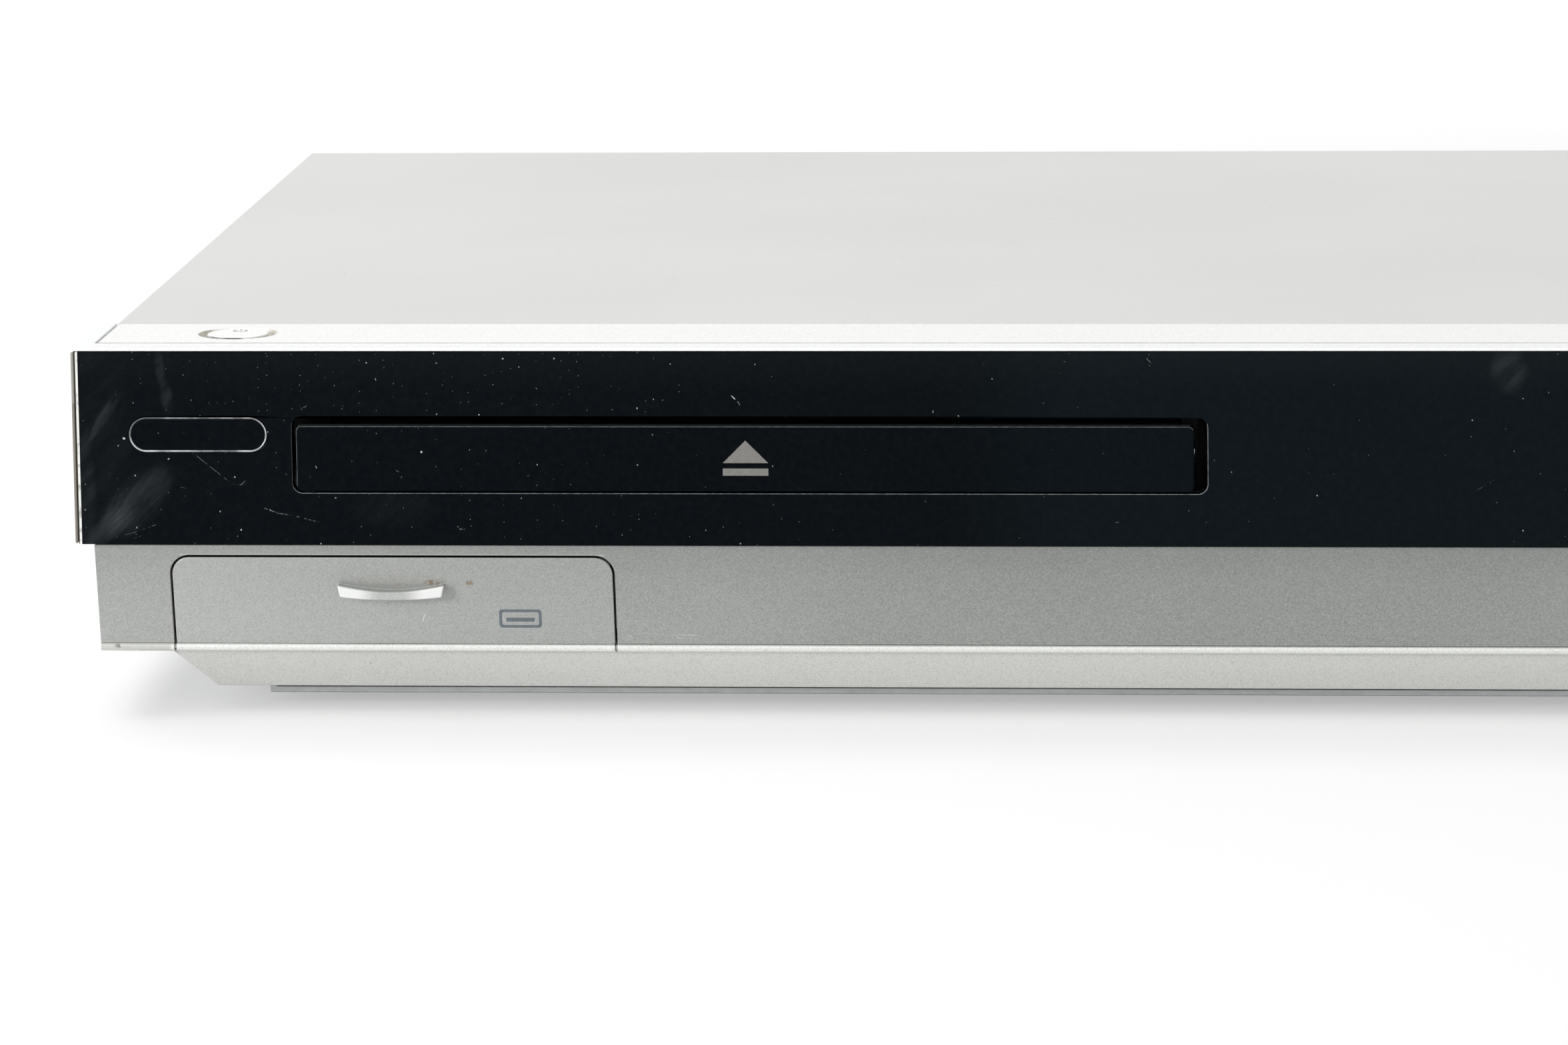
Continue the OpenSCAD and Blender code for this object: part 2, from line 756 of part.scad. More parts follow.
module top_deck() {
    x1 = cab_x - 0.15;
    post_places = [for (b = switch_boards_x) for (x = b) for (y = [11, 24]) [x, yf + y]];
    color(silver)
        difference() {
            union() {
                block([-x1, x1], [yf + strip_d + 0.15, yf + cheek_l - 0.15], [top_z, deck_top]);
                for (p = post_places)
                    bar_z(p[0], p[1], [switch_z, top_z + 1], 2);
            }
            bar_z(power_cx, yf + button_y, [top_z - 1, deck_top + 1], power_d / 2 + gap);
            translate([power_cx, yf + button_y, deck_top - 1.2])
                cylinder(h = 1.25, r1 = power_d / 2 + gap, r2 = dish_d / 2);
            for (k = [0:2])
                slab([button_x0 + k * button_pitch - button_w / 2 - gap,
                    button_x0 + k * button_pitch + button_w / 2 + gap],
                    [yf + button_y - button_d / 2 - gap, yf + button_y + button_d / 2 + gap],
                    [top_z - 1, deck_top + 1], 1.2 + gap);
        }
}

module power_button() {
    rim_z = deck_top - power_rim;
    color("gainsboro")
        translate([power_cx, yf + button_y, 0]) {
            translate([0, 0, top_z - gap - 1])
                cylinder(h = 1, d = power_d + 3);
            translate([0, 0, top_z - gap - 0.5])
                cylinder(h = rim_z - top_z + gap + 0.5, d = power_d);
            translate([0, 0, rim_z])
                cylinder(h = power_rim, d1 = power_d, d2 = power_d - 2 * power_rim);
            translate([0, 0, stem_z])
                cylinder(h = top_z - gap - 0.5 - stem_z, r = 2);
        }
}

module small_button(k) {
    x = button_x0 + k * button_pitch;
    y = yf + button_y;
    color("gainsboro") {
        slab([x - button_w / 2, x + button_w / 2], [y - button_d / 2, y + button_d / 2],
            [top_z - gap - 0.5, deck_top - 0.1], 1.2);
        block([x - button_w / 2 - 1.2, x + button_w / 2 + 1.2], [y - button_d / 2 - 1.2, y + button_d / 2 + 1.2],
            [top_z - gap - 1, top_z - gap]);
        bar_z(x, y, [stem_z, top_z - gap - 0.5], 2);
    }
}
module open_button() small_button(0);
module play_button() small_button(1);
module stop_button() small_button(2);

module usb_door() {
    t = along_skirt(flap_t);
    color(silver)
        difference() {
            union() {
                intersection() {
                    flap_outline(0, [yf - 1, yf + 20]);
                    along_x([flap_x0, flap_x1])
                        polygon([
                            [yf + skirt_y(skirt_z0), skirt_z0], [yf + skirt_y(skirt_z0) + t, skirt_z0],
                            [yf + skirt_y(flap_z1) + t, flap_z1], [yf + skirt_y(flap_z1), flap_z1]
                        ]);
                }
                bar_x([flap_x0, flap_x1], yf + lip_y, lip_z, lip_r);
                bar_x([flap_x0 - hinge_pin_l, flap_x1 + hinge_pin_l], yf + lip_y, lip_z, hinge_pin_r);
                finger_tab();
            }
        }
}

// Ledge for the finger, curved like a smile from the front
module finger_tab() {
    n = 12;
    arc = function (u, sag) -sag * (1 - u * u);
    places = [for (i = [0:n]) 2 * i / n - 1];
    along_y([yf + skirt_y(tab_z) - tab_out, yf + skirt_y(tab_z) + 0.6])
        translate([tab_x, tab_z])
            polygon(concat(
                [for (u = places) [u * tab_w / 2, 0.9 + arc(u, 1)]],
                [for (i = [n:-1:0]) [places[i] * (tab_w / 2 - 0.4), -0.9 + arc(places[i], 0.5)]]
            ));
}

// ---- Boards and connectors ----

module front_board() {
    color(pcb)
        difference() {
            block([board_posts[0] - 4, board_posts[len(board_posts) - 1] + 4],
                [yf + front_board_y, yf + front_board_y + board_t],
                [front_board_z, front_board_z + front_board_h]);
            for (x = board_posts)
                for (z = [front_board_z + 3, front_board_z + front_board_h - 3])
                    bar_y(x, [yf, yf + front_board_y + 5], z, 1.3);
        }
}

module display_module() {
    x = [display_x0, display_x0 + display_w];
    color("darkslategray") {
        block(x, [yf + window_y + window_t + 0.6, yf + front_board_y], [display_z, display_z + display_h]);
        block([x[1] - 6, x[1] - 3], [yf + window_y + window_t + 0.3, yf + front_board_y],
            [display_z + 2, display_z + display_h - 2]);
    }
}

module ir_receiver() {
    color(black) {
        block([ir_x - 3.5, ir_x + 3.5], [yf + front_board_y - 2.6, yf + front_board_y], [ir_z - 4, ir_z + 4]);
        translate([ir_x, yf + front_board_y - 2.6, ir_z])
            rotate([90, 0, 0])
                cylinder(h = 1.6, r1 = 2.6, r2 = 1.4);
    }
}

module switch_boards() {
    color(pcb)
        for (b = switch_boards_x)
            block([b[0] - 3, b[1] + 3], [yf + 8, yf + 27], [switch_z - board_t, switch_z]);
}

module tact_switches() {
    places = concat([power_cx], [for (k = [0:2]) button_x0 + k * button_pitch]);
    color(black)
        for (x = places) {
            block([x - 3, x + 3], [yf + button_y - 3, yf + button_y + 3], [switch_z, switch_z + 3.4]);
            bar_z(x, yf + button_y, [switch_z + 3, switch_z + switch_h], 1.7);
        }
}

module usb_board() {
    color(pcb)
        block([usb_x - 3, usb_x + usb_w], [yf + bay_y1 + 1.8, yf + bay_y1 + 21],
            [usb_z - board_t, usb_z]);
}

module usb_socket() {
    y0 = yf + bay_y1 + 0.2;
    x = [usb_x, usb_x + usb_w];
    z = [usb_z, usb_z + usb_h];
    skin = 0.3;
    color("silver")
        difference() {
            block(x, [y0, y0 + 14], z);
            block([x[0] + skin, x[1] - skin], [y0 - 1, y0 + 12], [z[0] + skin, z[1] - skin]);
        }
    color(black)
        block([x[0] + 1, x[1] - 1], [y0 + 0.6, y0 + 12], [z[1] - 2.6, z[1] - 0.8]);
}

module mount_holes(x, y) {
    for (cx = [x[0] + 5, x[1] - 5])
        for (cy = [y[0] + 5, y[1] - 22])
            translate([cx, cy, 0])
                children();
}
module board_corners() {
    mount_holes(main_x, main_y)
        children();
    mount_holes(power_board_x, power_board_y)
        children();
}

module main_board() {
    color(pcb)
        difference() {
            block(main_x, main_y, [board_z, board_z + board_t]);
            mount_holes(main_x, main_y)
                bar_z(0, 0, [board_z - 1, board_z + board_t + 1], 1.6);
        }
}

module power_board() {
    color("peru")
        difference() {
            block(power_board_x, power_board_y, [board_z, board_z + board_t]);
            mount_holes(power_board_x, power_board_y)
                bar_z(0, 0, [board_z - 1, board_z + board_t + 1], 1.6);
        }
}

module standoffs() {
    color("silver")
        board_corners()
            difference() {
                bar_z(0, 0, [z_floor, board_z], 3);
                bar_z(0, 0, [z_floor + 1, board_z + 1], 1.5);
            }
    color("silver")
        loader_screw_places()
            difference() {
                bar_z(0, 0, [z_floor, loader_z], 2.8);
                bar_z(0, 0, [z_floor + 0.8, loader_z + 1], 1.5);
            }
}

module board_screws() {
    color(steel)
        board_corners()
            translate([0, 0, board_z + board_t])
                mirror([0, 0, 1])
                    screw(1.5, 2.8, 1.6, board_t + 4);
}

module decoder_chip() {
    c = [main_x[0] + 60, main_y[0] + 60];
    color(black)
        block([c[0] - 14, c[0] + 14], [c[1] - 14, c[1] + 14], [board_top, board_top + 2]);
    color("silver")
        for (k = [-6:6])
            for (s = [-1, 1]) {
                block([c[0] + k * 2 - 0.4, c[0] + k * 2 + 0.4],
                    [c[1] + s * 15 - 1.2, c[1] + s * 15 + 1.2], [board_top, board_top + 1]);
                block([c[0] + s * 15 - 1.2, c[0] + s * 15 + 1.2],
                    [c[1] + k * 2 - 0.4, c[1] + k * 2 + 0.4], [board_top, board_top + 1]);
            }
}

module decoder_heatsink() {
    c = [main_x[0] + 60, main_y[0] + 60];
    z0 = board_top + 2;
    color("dimgray") {
        block([c[0] - 13, c[0] + 13], [c[1] - 13, c[1] + 13], [z0, z0 + 2.5]);
        for (k = [0:6])
            block([c[0] - 13 + k * 4.1, c[0] - 11.6 + k * 4.1], [c[1] - 13, c[1] + 13], [z0 + 2, z0 + 10]);
    }
}

module transformer() {
    c = [power_board_x[0] + 38, power_board_y[0] + 62];
    color("gold")
        block([c[0] - 10, c[0] + 10], [c[1] - 13, c[1] + 13], [board_top + 3, board_top + 21]);
    color(black) {
        block([c[0] - 14, c[0] + 14], [c[1] - 15, c[1] + 15], [board_top, board_top + 3.5]);
        block([c[0] - 14, c[0] + 14], [c[1] - 18, c[1] - 12.5], [board_top + 2, board_top + 22]);
        block([c[0] - 14, c[0] + 14], [c[1] + 12.5, c[1] + 18], [board_top + 2, board_top + 22]);
        block([c[0] - 14, c[0] + 14], [c[1] - 18, c[1] + 18], [board_top + 20.5, board_top + 24]);
    }
}

module capacitors() {
    x0 = power_board_x[0];
    y0 = power_board_y[0];
    cans = [[16, 100, 9, 26], [56, 104, 5, 14], [70, 30, 5, 16], [70, 48, 5, 16], [38, 24, 4, 12], [26, 24, 4, 12]];
    color([0.15, 0.2, 0.35])
        for (c = cans)
            difference() {
                bar_z(x0 + c[0], y0 + c[1], [board_top, board_top + c[3]], c[2]);
                translate([x0 + c[0], y0 + c[1], board_top + 2.4])
                    rotate_extrude()
                        translate([c[2], 0])
                            circle(r = 0.5, $fn = 16);
            }
}

module power_heatsink() {
    x = [power_board_x[0] + 62, power_board_x[0] + 64];
    y = [power_board_y[0] + 66, power_board_y[0] + 96];
    color("silver") {
        block(x, y, [board_top, board_top + 26]);
        for (k = [0:3])
            block([x[1] - 0.5, x[1] + 7], [y[0] + k * 9.5, y[0] + 1.5 + k * 9.5], [board_top + 4, board_top + 26]);
    }
    color(black)
        block([x[0] - 4.5, x[0]], [y[0] + 10, y[0] + 20], [board_top, board_top + 18]);
}

module mains_inlet() {
    z = inlet_z;
    color(black)
        difference() {
            union() {
                block([inlet_x - 13, inlet_x + 13], [y_rear - 20, y_rear - sheet], [board_top, z + 8]);
                block([inlet_x - 12, inlet_x + 12], [y_rear - sheet - 1, y_rear + 2], [z - 7, z + 7]);
            }
            panel_block([inlet_x - 8, inlet_x + 8], [y_rear - 13, y_rear + 3], [z - 4.2, z + 4.2], 4.1);
        }
    color("silver")
        for (s = [-1, 1])
            bar_y(inlet_x + s * 4.3, [y_rear - 14, y_rear - 1], z, 1.18);
}

// A row of phono jacks in one moulded block
module phono_block(x0, columns, rows) {
    w = columns * phono_pitch;
    difference() {
        block([x0, x0 + w], [y_rear - sheet - 12, y_rear - sheet], [board_top, board_top + rows * phono_pitch]);
        phono_places(x0, columns, rows)
            bar_y(0, [y_rear - sheet - 8, y_rear + 1], 0, 1.7);
    }
    phono_places(x0, columns, rows)
        difference() {
            union() {
                bar_y(0, [y_rear - sheet - 1, body_d / 2], 0, phono_r);
                bar_y(0, [y_rear - sheet - 1, y_rear], 0, phono_r + phono_collar);
            }
            bar_y(0, [y_rear - sheet - 2, body_d / 2 + 1], 0, 1.7);
            difference() {
                bar_y(0, [y_rear + 3, body_d / 2 + 1], 0, phono_r - 0.5);
                bar_y(0, [y_rear, body_d / 2 + 2], 0, 3);
            }
        }
}
module phono_places(x0, columns, rows) {
    for (c = [0:columns - 1])
        for (r = [0:rows - 1])
            translate([x0 + (c + 0.5) * phono_pitch, 0, board_top + (r + 0.5) * phono_pitch])
                children();
}

module audio_jacks() {
    color(black)
        phono_block(audio_x, 3, 2);
}
module video_jacks() {
    color(black)
        phono_block(video_x, 3, 1);
}

module hdmi_socket() {
    y = [y_rear - 12, y_rear + 0.6];
    x = [hdmi_x - 7.6, hdmi_x + 7.6];
    z = [board_top, board_top + 6.2];
    color("silver")
        difference() {
            block(x, y, z);
            block([x[0] + 0.4, x[1] - 0.4], [y[0] + 2, y[1] + 1], [z[0] + 1.8, z[1] - 0.4]);
            block([x[0] + 2, x[1] - 2], [y[0] + 2, y[1] + 1], [z[0] + 0.5, z[0] + 2]);
        }
    color(black)
        block([x[0] + 2.5, x[1] - 2.5], [y[0] + 1, y[1] - 1], [z[0] + 2.6, z[0] + 3.8]);
}

module optical_socket() {
    x = video_x + 1.5 * phono_pitch;
    z0 = board_top + phono_pitch;
    color(black)
        difference() {
            block([x - 5, x + 5], [y_rear - 13, y_rear + 1], [z0, z0 + 10]);
            block([x - 3.2, x + 3.2], [y_rear - 4, y_rear + 2], [z0 + 1.8, z0 + 8.2]);
        }
    color("silver")
        block([x - 3, x + 3], [y_rear - 2.4, y_rear - 1.4], [z0 + 2, z0 + 8]);
}

module rear_cutouts() {
    c = 0.3;
    phono_places(audio_x, 3, 2)
        bar_y(0, [y_rear - 2, y_rear + 1], 0, phono_r + phono_collar + c);
    phono_places(video_x, 3, 1)
        bar_y(0, [y_rear - 2, y_rear + 1], 0, phono_r + phono_collar + c);
    block([hdmi_x - 7.6 - c, hdmi_x + 7.6 + c], [y_rear - 2, y_rear + 1], [board_top - c, board_top + 6.2 + c]);
    x = video_x + 1.5 * phono_pitch;
    block([x - 5 - c, x + 5 + c], [y_rear - 2, y_rear + 1],
        [board_top + phono_pitch - c, board_top + phono_pitch + 10 + c]);
    block([inlet_x - 12 - c, inlet_x + 12 + c], [y_rear - 2, y_rear + 1], [inlet_z - 7 - c, inlet_z + 7 + c]);
}

// Flat cables, laid as thin bent strips, with their board connectors
module ribbon_cables() {
    front_x = main_x[0] + 92;
    loader_x = main_x[0] + 16;
    front_z = front_board_z + 6;
    color("white") {
        along_x([front_x, front_x + 14])
            polygon([
                [yf + front_board_y + board_t + 4, front_z], [yf + front_board_y + board_t + 4, front_z - 0.3],
                [main_y[0] + 12, board_top + 4], [main_y[0] + 12.4, board_top + 4.2]
            ]);
        along_y([disc_row - 9, disc_row + 9])
            polygon([
                [door_x + lx + loader_wall, loader_z + 9], [door_x + lx + loader_wall, loader_z + 8.7],
                [loader_x, board_top + 4], [loader_x + 0.2, board_top + 4.3]
            ]);
    }
    color("ivory") {
        block([front_x - 2, front_x + 16], [main_y[0] + 9, main_y[0] + 13.5], [board_top, board_top + 4]);
        block([front_x - 2, front_x + 16],
            [yf + front_board_y + board_t, yf + front_board_y + board_t + 4], [front_z - 3, front_z + 3]);
        block([loader_x - 1, loader_x + 4], [disc_row - 11, disc_row + 11], [board_top, board_top + 4]);
    }
}

// Power leads from the power board to the main board, with their two plugs
module power_harness() {
    x = [main_x[1] - 8, power_board_x[0] + 8];
    y = main_y[0] + 30;
    leads = 5;
    color("ivory")
        for (c = x)
            block([c - 3, c + 3], [y - 7, y + 7], [board_top, board_top + 6]);
    for (k = [0:leads - 1])
        color(k < 2 ? "red" : "dimgray")
            bar_x([x[0] + 3, x[1] - 3], y - 5 + k * 2.5, board_top + 4, 0.7);
}

// ---- Tray and its drive ----

module tray() {
    half = tray_w / 2;
    y0 = yf + tray_y;
    cy = yf + disc_cy;
    color(black) {
        difference() {
            slab([door_x - half, door_x + half], [y0, y0 + tray_l], [z_tray, z_tray_top], 1);
            block([door_x - half + 3, door_x + half - 3], [y0 + 2.5, y0 + tray_l + 1], [z_tray - 1, z_under]);
            bar_z(door_x, cy, [z_tray_top - disc_recess, z_tray_top + 1], disc_d / 2);
            bar_z(door_x, cy, [z_tray_top - small_recess, z_tray_top + 1], small_disc_d / 2);
            bar_z(door_x, cy, [z_tray - 1, z_tray_top + 1], slot_r);
            block([door_x - slot_r, door_x + slot_r], [cy, cy + slot_l], [z_tray - 1, z_tray_top + 1]);
            for (a = [45:90:315])
                bar_z(door_x + disc_d / 2 * cos(a), cy + disc_d / 2 * sin(a),
                    [z_tray_top - disc_recess, z_tray_top + 1], 11);
        }
        translate([rack_x, 0, z_tray + gap])
            linear_extrude(tray_rib)
                rack_outline(drive_m, y0 + 6, y0 + tray_l - 2, yf + drive_y, rack_w);
    }
}

module tray_door() {
    color(dark)
        panel_block([door_x - door_w / 2, door_x + door_w / 2], [yf + door_y, yf + tray_y],
            [door_z, door_z + door_h], door_r);
}

module drive_gear() {
    color(natural)
        translate([drive_x, yf + drive_y, 0])
            difference() {
                union() {
                    translate([0, 0, gear_z])
                        linear_extrude(gear_top - gear_z)
                            gear_outline(drive_teeth, drive_m);
                    bar_z(0, 0, [pulley_z, gear_z + 0.1], 4);
                }
                bar_z(0, 0, [pulley_z - 1, gear_top + 1], post_r + running_fit);
                difference() {
                    bar_z(0, 0, [gear_top - 1, gear_top + 1], drive_r - 3);
                    bar_z(0, 0, [gear_top - 2, gear_top + 2], 4);
                }
            }
}

// A belt pulley with a square groove
module pulley(groove_r, h) {
    rotate_extrude()
        polygon([
            [0, 0], [groove_r + 1.6, 0], [groove_r + 1.6, 0.9], [groove_r, 1.2], [groove_r, h - 1.2],
            [groove_r + 1.6, h - 0.9], [groove_r + 1.6, h], [0, h]
        ]);
}

module pulley_gear() {
    color("white")
        translate([pulley_x, yf + drive_y, 0])
            difference() {
                union() {
                    translate([0, 0, pulley_z])
                        pulley(pulley_r, pulley_h);
                    translate([0, 0, pulley_z + pulley_h - 0.1])
                        linear_extrude(gear_top - pulley_z - pulley_h + 0.1)
                            rotate(180 / pinion_teeth)
                                gear_outline(pinion_teeth, drive_m);
                }
                bar_z(0, 0, [pulley_z - 1, gear_top + 1], post_r + running_fit);
            }
}

module motor_pulley() {
    color("tan")
        translate([motor_x, yf + motor_y, pulley_z])
            pulley(motor_pulley_r, pulley_h);
    color(steel)
        bar_z(motor_x, yf + motor_y, [z_shelf - shelf_t - 3, pulley_z + pulley_h + 1], shaft_r);
}

module loading_motor() {
    color(steel)
        difference() {
            union() {
                bar_z(motor_x, yf + motor_y, [z_shelf - shelf_t - motor_h, z_shelf - shelf_t], motor_r);
                bar_z(motor_x, yf + motor_y, [z_shelf - shelf_t - 1, z_shelf - 0.3], 3);
            }
            bar_z(motor_x, yf + motor_y, [z_shelf - shelf_t - 4, z_shelf + 1], shaft_r + running_fit);
            for (s = [-1, 1])
                block([motor_x + s * 9.4 - 1, motor_x + s * 9.4 + 1],
                    [yf + motor_y - 20, yf + motor_y + 20],
                    [z_shelf - shelf_t - motor_h - 1, z_shelf - shelf_t - 9]);
        }
}

// Outline round both pulleys at a distance e outside their grooves
module belt_outline(e) {
    a = [motor_x, yf + motor_y];
    b = [pulley_x, yf + drive_y];
    ra = motor_pulley_r + e;
    rb = pulley_r + e;
    turn = atan2(b[1] - a[1], b[0] - a[0]);
    lean = acos((ra - rb) / norm(b - a));
    steps = 16;
    polygon(concat(
        [for (i = [0:steps])
            let (t = turn + lean + (360 - 2 * lean) * i / steps)
                a + ra * [cos(t), sin(t)]],
        [for (i = [0:steps])
            let (t = turn - lean + 2 * lean * i / steps)
                b + rb * [cos(t), sin(t)]]
    ));
}

module drive_belt() {
    color(black)
        translate([0, 0, pulley_z + pulley_h / 2 - belt_t / 2 + 0.1])
            linear_extrude(belt_t - 0.2)
                difference() {
                    belt_outline(0.2 + belt_t);
                    belt_outline(0.2);
                }
}

module loader_frame() {
    x0 = lx + loader_wall;
    y = [yf + loader_y, yf + loader_y + loader_l];
    z1 = z_tray_top + 2.3;
    floor_z = loader_z + loader_floor;
    color(black)
        translate([door_x, 0, 0])
            difference() {
                union() {
                    block([-x0, x0], y, [loader_z, floor_z]);
                    block([-x0, x0], [y[0], y[0] + loader_wall], [loader_z, z_shelf]);
                    block([-x0, x0], [y[1] - loader_wall, y[1]], [loader_z, z1]);
                    block([-x0, x0], [y[0], y[0] + shelf_y], [z_shelf - shelf_t, z_shelf]);
                    both_sides() {
                        block([lx, x0], y, [loader_z, z1]);
                        block([lx, x0], [yf + disc_cy - 15, yf + disc_cy + 15], [loader_z, bridge_z]);
                        block([lx - ledge, lx + 1], y, [z_tray - gap - 2.5, z_tray - gap]);
                        for (t = [5, 80])
                            block([lx - 2.5, lx + 1], [y[0] + t, y[0] + t + 10],
                                [z_tray_top + gap, z1]);
                        for (t = loader_ears)
                            slab([x0 - 1, x0 + ear_x + 4], [y[0] + t - 5, y[0] + t + 5],
                                [loader_z, loader_z + 3], 2);
                    }
                    post(drive_x - door_x, yf + drive_y);
                    post(pulley_x - door_x, yf + drive_y);
                    block([-lx, lx], [yf + cam_y - 2, yf + cam_y + cam_t + 2], [floor_z - 0.5, cam_z0 - 0.2]);
                    for (t = [-2, cam_t + 0.3])
                        block([-lx, lx], [yf + cam_y + t, yf + cam_y + t + 1.7], [floor_z - 0.5, cam_z0 + 1]);
                }
                block([-deck_w / 2 + 8, deck_w / 2 - 8], [yf + disc_cy - 14, yf + disc_cy + 70],
                    [loader_z - 1, floor_z + 1]);
                bar_z(motor_x - door_x, yf + motor_y, [z_shelf - shelf_t - 1, z_shelf + 1], 3.3);
                bar_x([-x0 - 1, x0 + 1], yf + pivot_cy, deck_z, pivot_r + running_fit);
                both_sides()
                    for (t = loader_ears)
                        bar_z(x0 + ear_x, y[0] + t, [loader_z - 1, loader_z + 4], 1.7);
            }
}

// Post that a gear turns on, with a shoulder to carry it
module post(x, y) {
    bar_z(x, y, [z_shelf - 1, gear_top - 0.4], post_r);
    bar_z(x, y, [z_shelf - 1, z_shelf + 0.5], post_r + 1.2);
}

module loader_screw_places() {
    translate([door_x, 0, 0])
        both_sides()
            for (t = loader_ears)
                translate([lx + loader_wall + ear_x, yf + loader_y + t, 0])
                    children();
}

module loader_screws() {
    color(steel)
        loader_screw_places()
            translate([0, 0, loader_z + 3])
                mirror([0, 0, 1])
                    screw(1.5, 2.5, 1.6, 6);
}

module clamp_bridge() {
    x0 = lx + loader_wall;
    color(steel)
        translate([door_x, yf + disc_cy, 0])
            difference() {
                union() {
                    block([-x0, x0], [-14, 14], [bridge_z, bridge_z + bridge_t]);
                    for (s = [-14, 12.8])
                        block([-x0 + 12, x0 - 12], [s, s + bridge_t], [bridge_z, bridge_z + 4]);
                }
                bar_z(0, 0, [bridge_z - 1, bridge_z + 5], clamper_hub_r + gap);
            }
}

module clamper() {
    color("white")
        translate([door_x, yf + disc_cy, 0])
            difference() {
                union() {
                    bar_z(0, 0, [clamp_z, clamp_z + clamp_t], clamper_d / 2);
                    bar_z(0, 0, [clamp_z, bridge_z + bridge_t + gap + 1], clamper_hub_r);
                    bar_z(0, 0, [bridge_z + bridge_t + gap, bridge_z + bridge_t + gap + 1.2], clamper_hub_r + 2.6);
                }
                bar_z(0, 0, [clamp_z - 1, clamp_z + 1.5], 8.2);
                bar_z(0, 0, [bridge_z + bridge_t, bridge_z + bridge_t + 3], 4);
            }
}

// A slot between two points, with round ends and a short flat at each end
module cam_slot(p, q, r) {
    ends = [p + [3, 0], p, q, q - [3, 0]];
    for (e = ends)
        translate(e)
            circle(r = r);
    for (i = [0:2])
        let (d = (ends[i + 1] - ends[i]) / norm(ends[i + 1] - ends[i]))
            let (n = [-d[1], d[0]] * r)
                polygon([ends[i] + n, ends[i + 1] + n, ends[i + 1] - n, ends[i] - n]);
}

module cam_slider() {
    x = [door_x - pin_x - cam_travel - 9, door_x + pin_x + 9];
    color(natural)
        along_y([yf + cam_y, yf + cam_y + cam_t])
            difference() {
                translate([x[0], cam_z0])
                    square([x[1] - x[0], cam_z1 - cam_z0]);
                for (px = [door_x - pin_x, door_x + pin_x])
                    cam_slot([px, deck_z - pin_drop], [px - cam_travel, deck_z], pin_r + 0.35);
            }
}

// ---- Optical deck ----

module deck_plate() {
    y = [yf + deck_y0, yf + deck_y1];
    cy = yf + disc_cy;
    sled_y = [cy + 13.5, cy + lens_in + sled_travel + sled_l - sled_front + 0.8];
    color(steel)
        lowered()
            translate([door_x, 0, 0])
                difference() {
                    union() {
                        block([-deck_w / 2, deck_w / 2], y, [deck_z - deck_t / 2, deck_z + deck_t / 2]);
                        both_sides() {
                            for (hy = [cy + 9.5, sled_y[1] + 0.2])
                                block([rod_x_off - 3.5, rod_x_off + 3.5], [hy, hy + 3.5], [deck_z, rod_z + 3]);
                            bar_x([deck_w / 2 - 8, lx + loader_wall - 0.4], yf + pivot_cy, deck_z, pivot_r);
                            bar_x([deck_w / 2 - 8, deck_w / 2], yf + pivot_cy, deck_z, pivot_r + 1);
                            bar_y(pin_x, [yf + cam_y - 1, y[0] + 4], deck_z, pin_r);
                            bar_y(pin_x, [y[0], y[0] + 6], deck_z, pin_r + 1);
                        }
                        bar_z(feed_x - door_x, yf + feed_y, [deck_z, feed_z + feed_h], 1);
                    }
                    block([-rod_x_off - 5, rod_x_off + 5], sled_y, [deck_z - 2, deck_z + 2]);
                    both_sides()
                        bar_y(rod_x_off, [cy + 9.4, sled_y[1] + 4], rod_z, rod_r);
                    bar_z(0, cy, [deck_z - 2, deck_z + 2], 5);
                    bar_z(feed_x - door_x, yf + feed_motor_y, [deck_z - 2, deck_z + 2], 2.5);
                }
}

module guide_rods() {
    color("silver")
        lowered()
            translate([door_x, 0, 0])
                both_sides()
                    bar_y(rod_x_off, [yf + disc_cy + 10, yf + disc_cy + lens_in + sled_travel + sled_l - sled_front + 4],
                        rod_z, rod_r);
}

module spindle_motor() {
    color("silver")
        lowered()
            translate([door_x, yf + disc_cy, deck_z])
                difference() {
                    union() {
                        slab([-14, 14], [-16, 9], [1, 2.4], 3);
                        bar_z(0, 0, [2, 9], 9.5);
                        bar_z(0, 0, [-1.6, 2], 4.8);
                    }
                    bar_z(0, 0, [-0.6, 10], shaft_r + running_fit);
                    for (a = [0:40:320])
                        rotate(a)
                            block([8, 10.5], [-0.7, 0.7], [3.6, 10]);
                }
}

module turntable() {
    color(black)
        lowered()
            translate([door_x, yf + disc_cy, 0]) {
                difference() {
                    union() {
                        bar_z(0, 0, [deck_z + 3.6, turn_z - 1], 13);
                        bar_z(0, 0, [turn_z - 2, turn_z], turntable_d / 2);
                        translate([0, 0, turn_z])
                            cylinder(h = cone_h, r1 = 7.3, r2 = 6.2);
                    }
                    bar_z(0, 0, [deck_z + 3, deck_z + 10], 10.5);
                }
                bar_z(0, 0, [deck_z - 0.2, deck_z + 11], shaft_r);
            }
}

module feed_motor() {
    color(steel)
        lowered()
            difference() {
                bar_z(feed_x, yf + feed_motor_y, [deck_z - 9, deck_z - deck_t / 2], 9);
                bar_z(feed_x, yf + feed_motor_y, [deck_z - 6, deck_z], 0.75 + running_fit);
            }
}

module feed_pinion() {
    color("gold")
        lowered()
            translate([feed_x, yf + feed_motor_y, 0]) {
                translate([0, 0, feed_z])
                    linear_extrude(feed_h)
                        rotate(180 / pinion_teeth)
                            gear_outline(pinion_teeth, feed_m);
                bar_z(0, 0, [deck_z - 5, feed_z + feed_h], 0.75);
            }
}

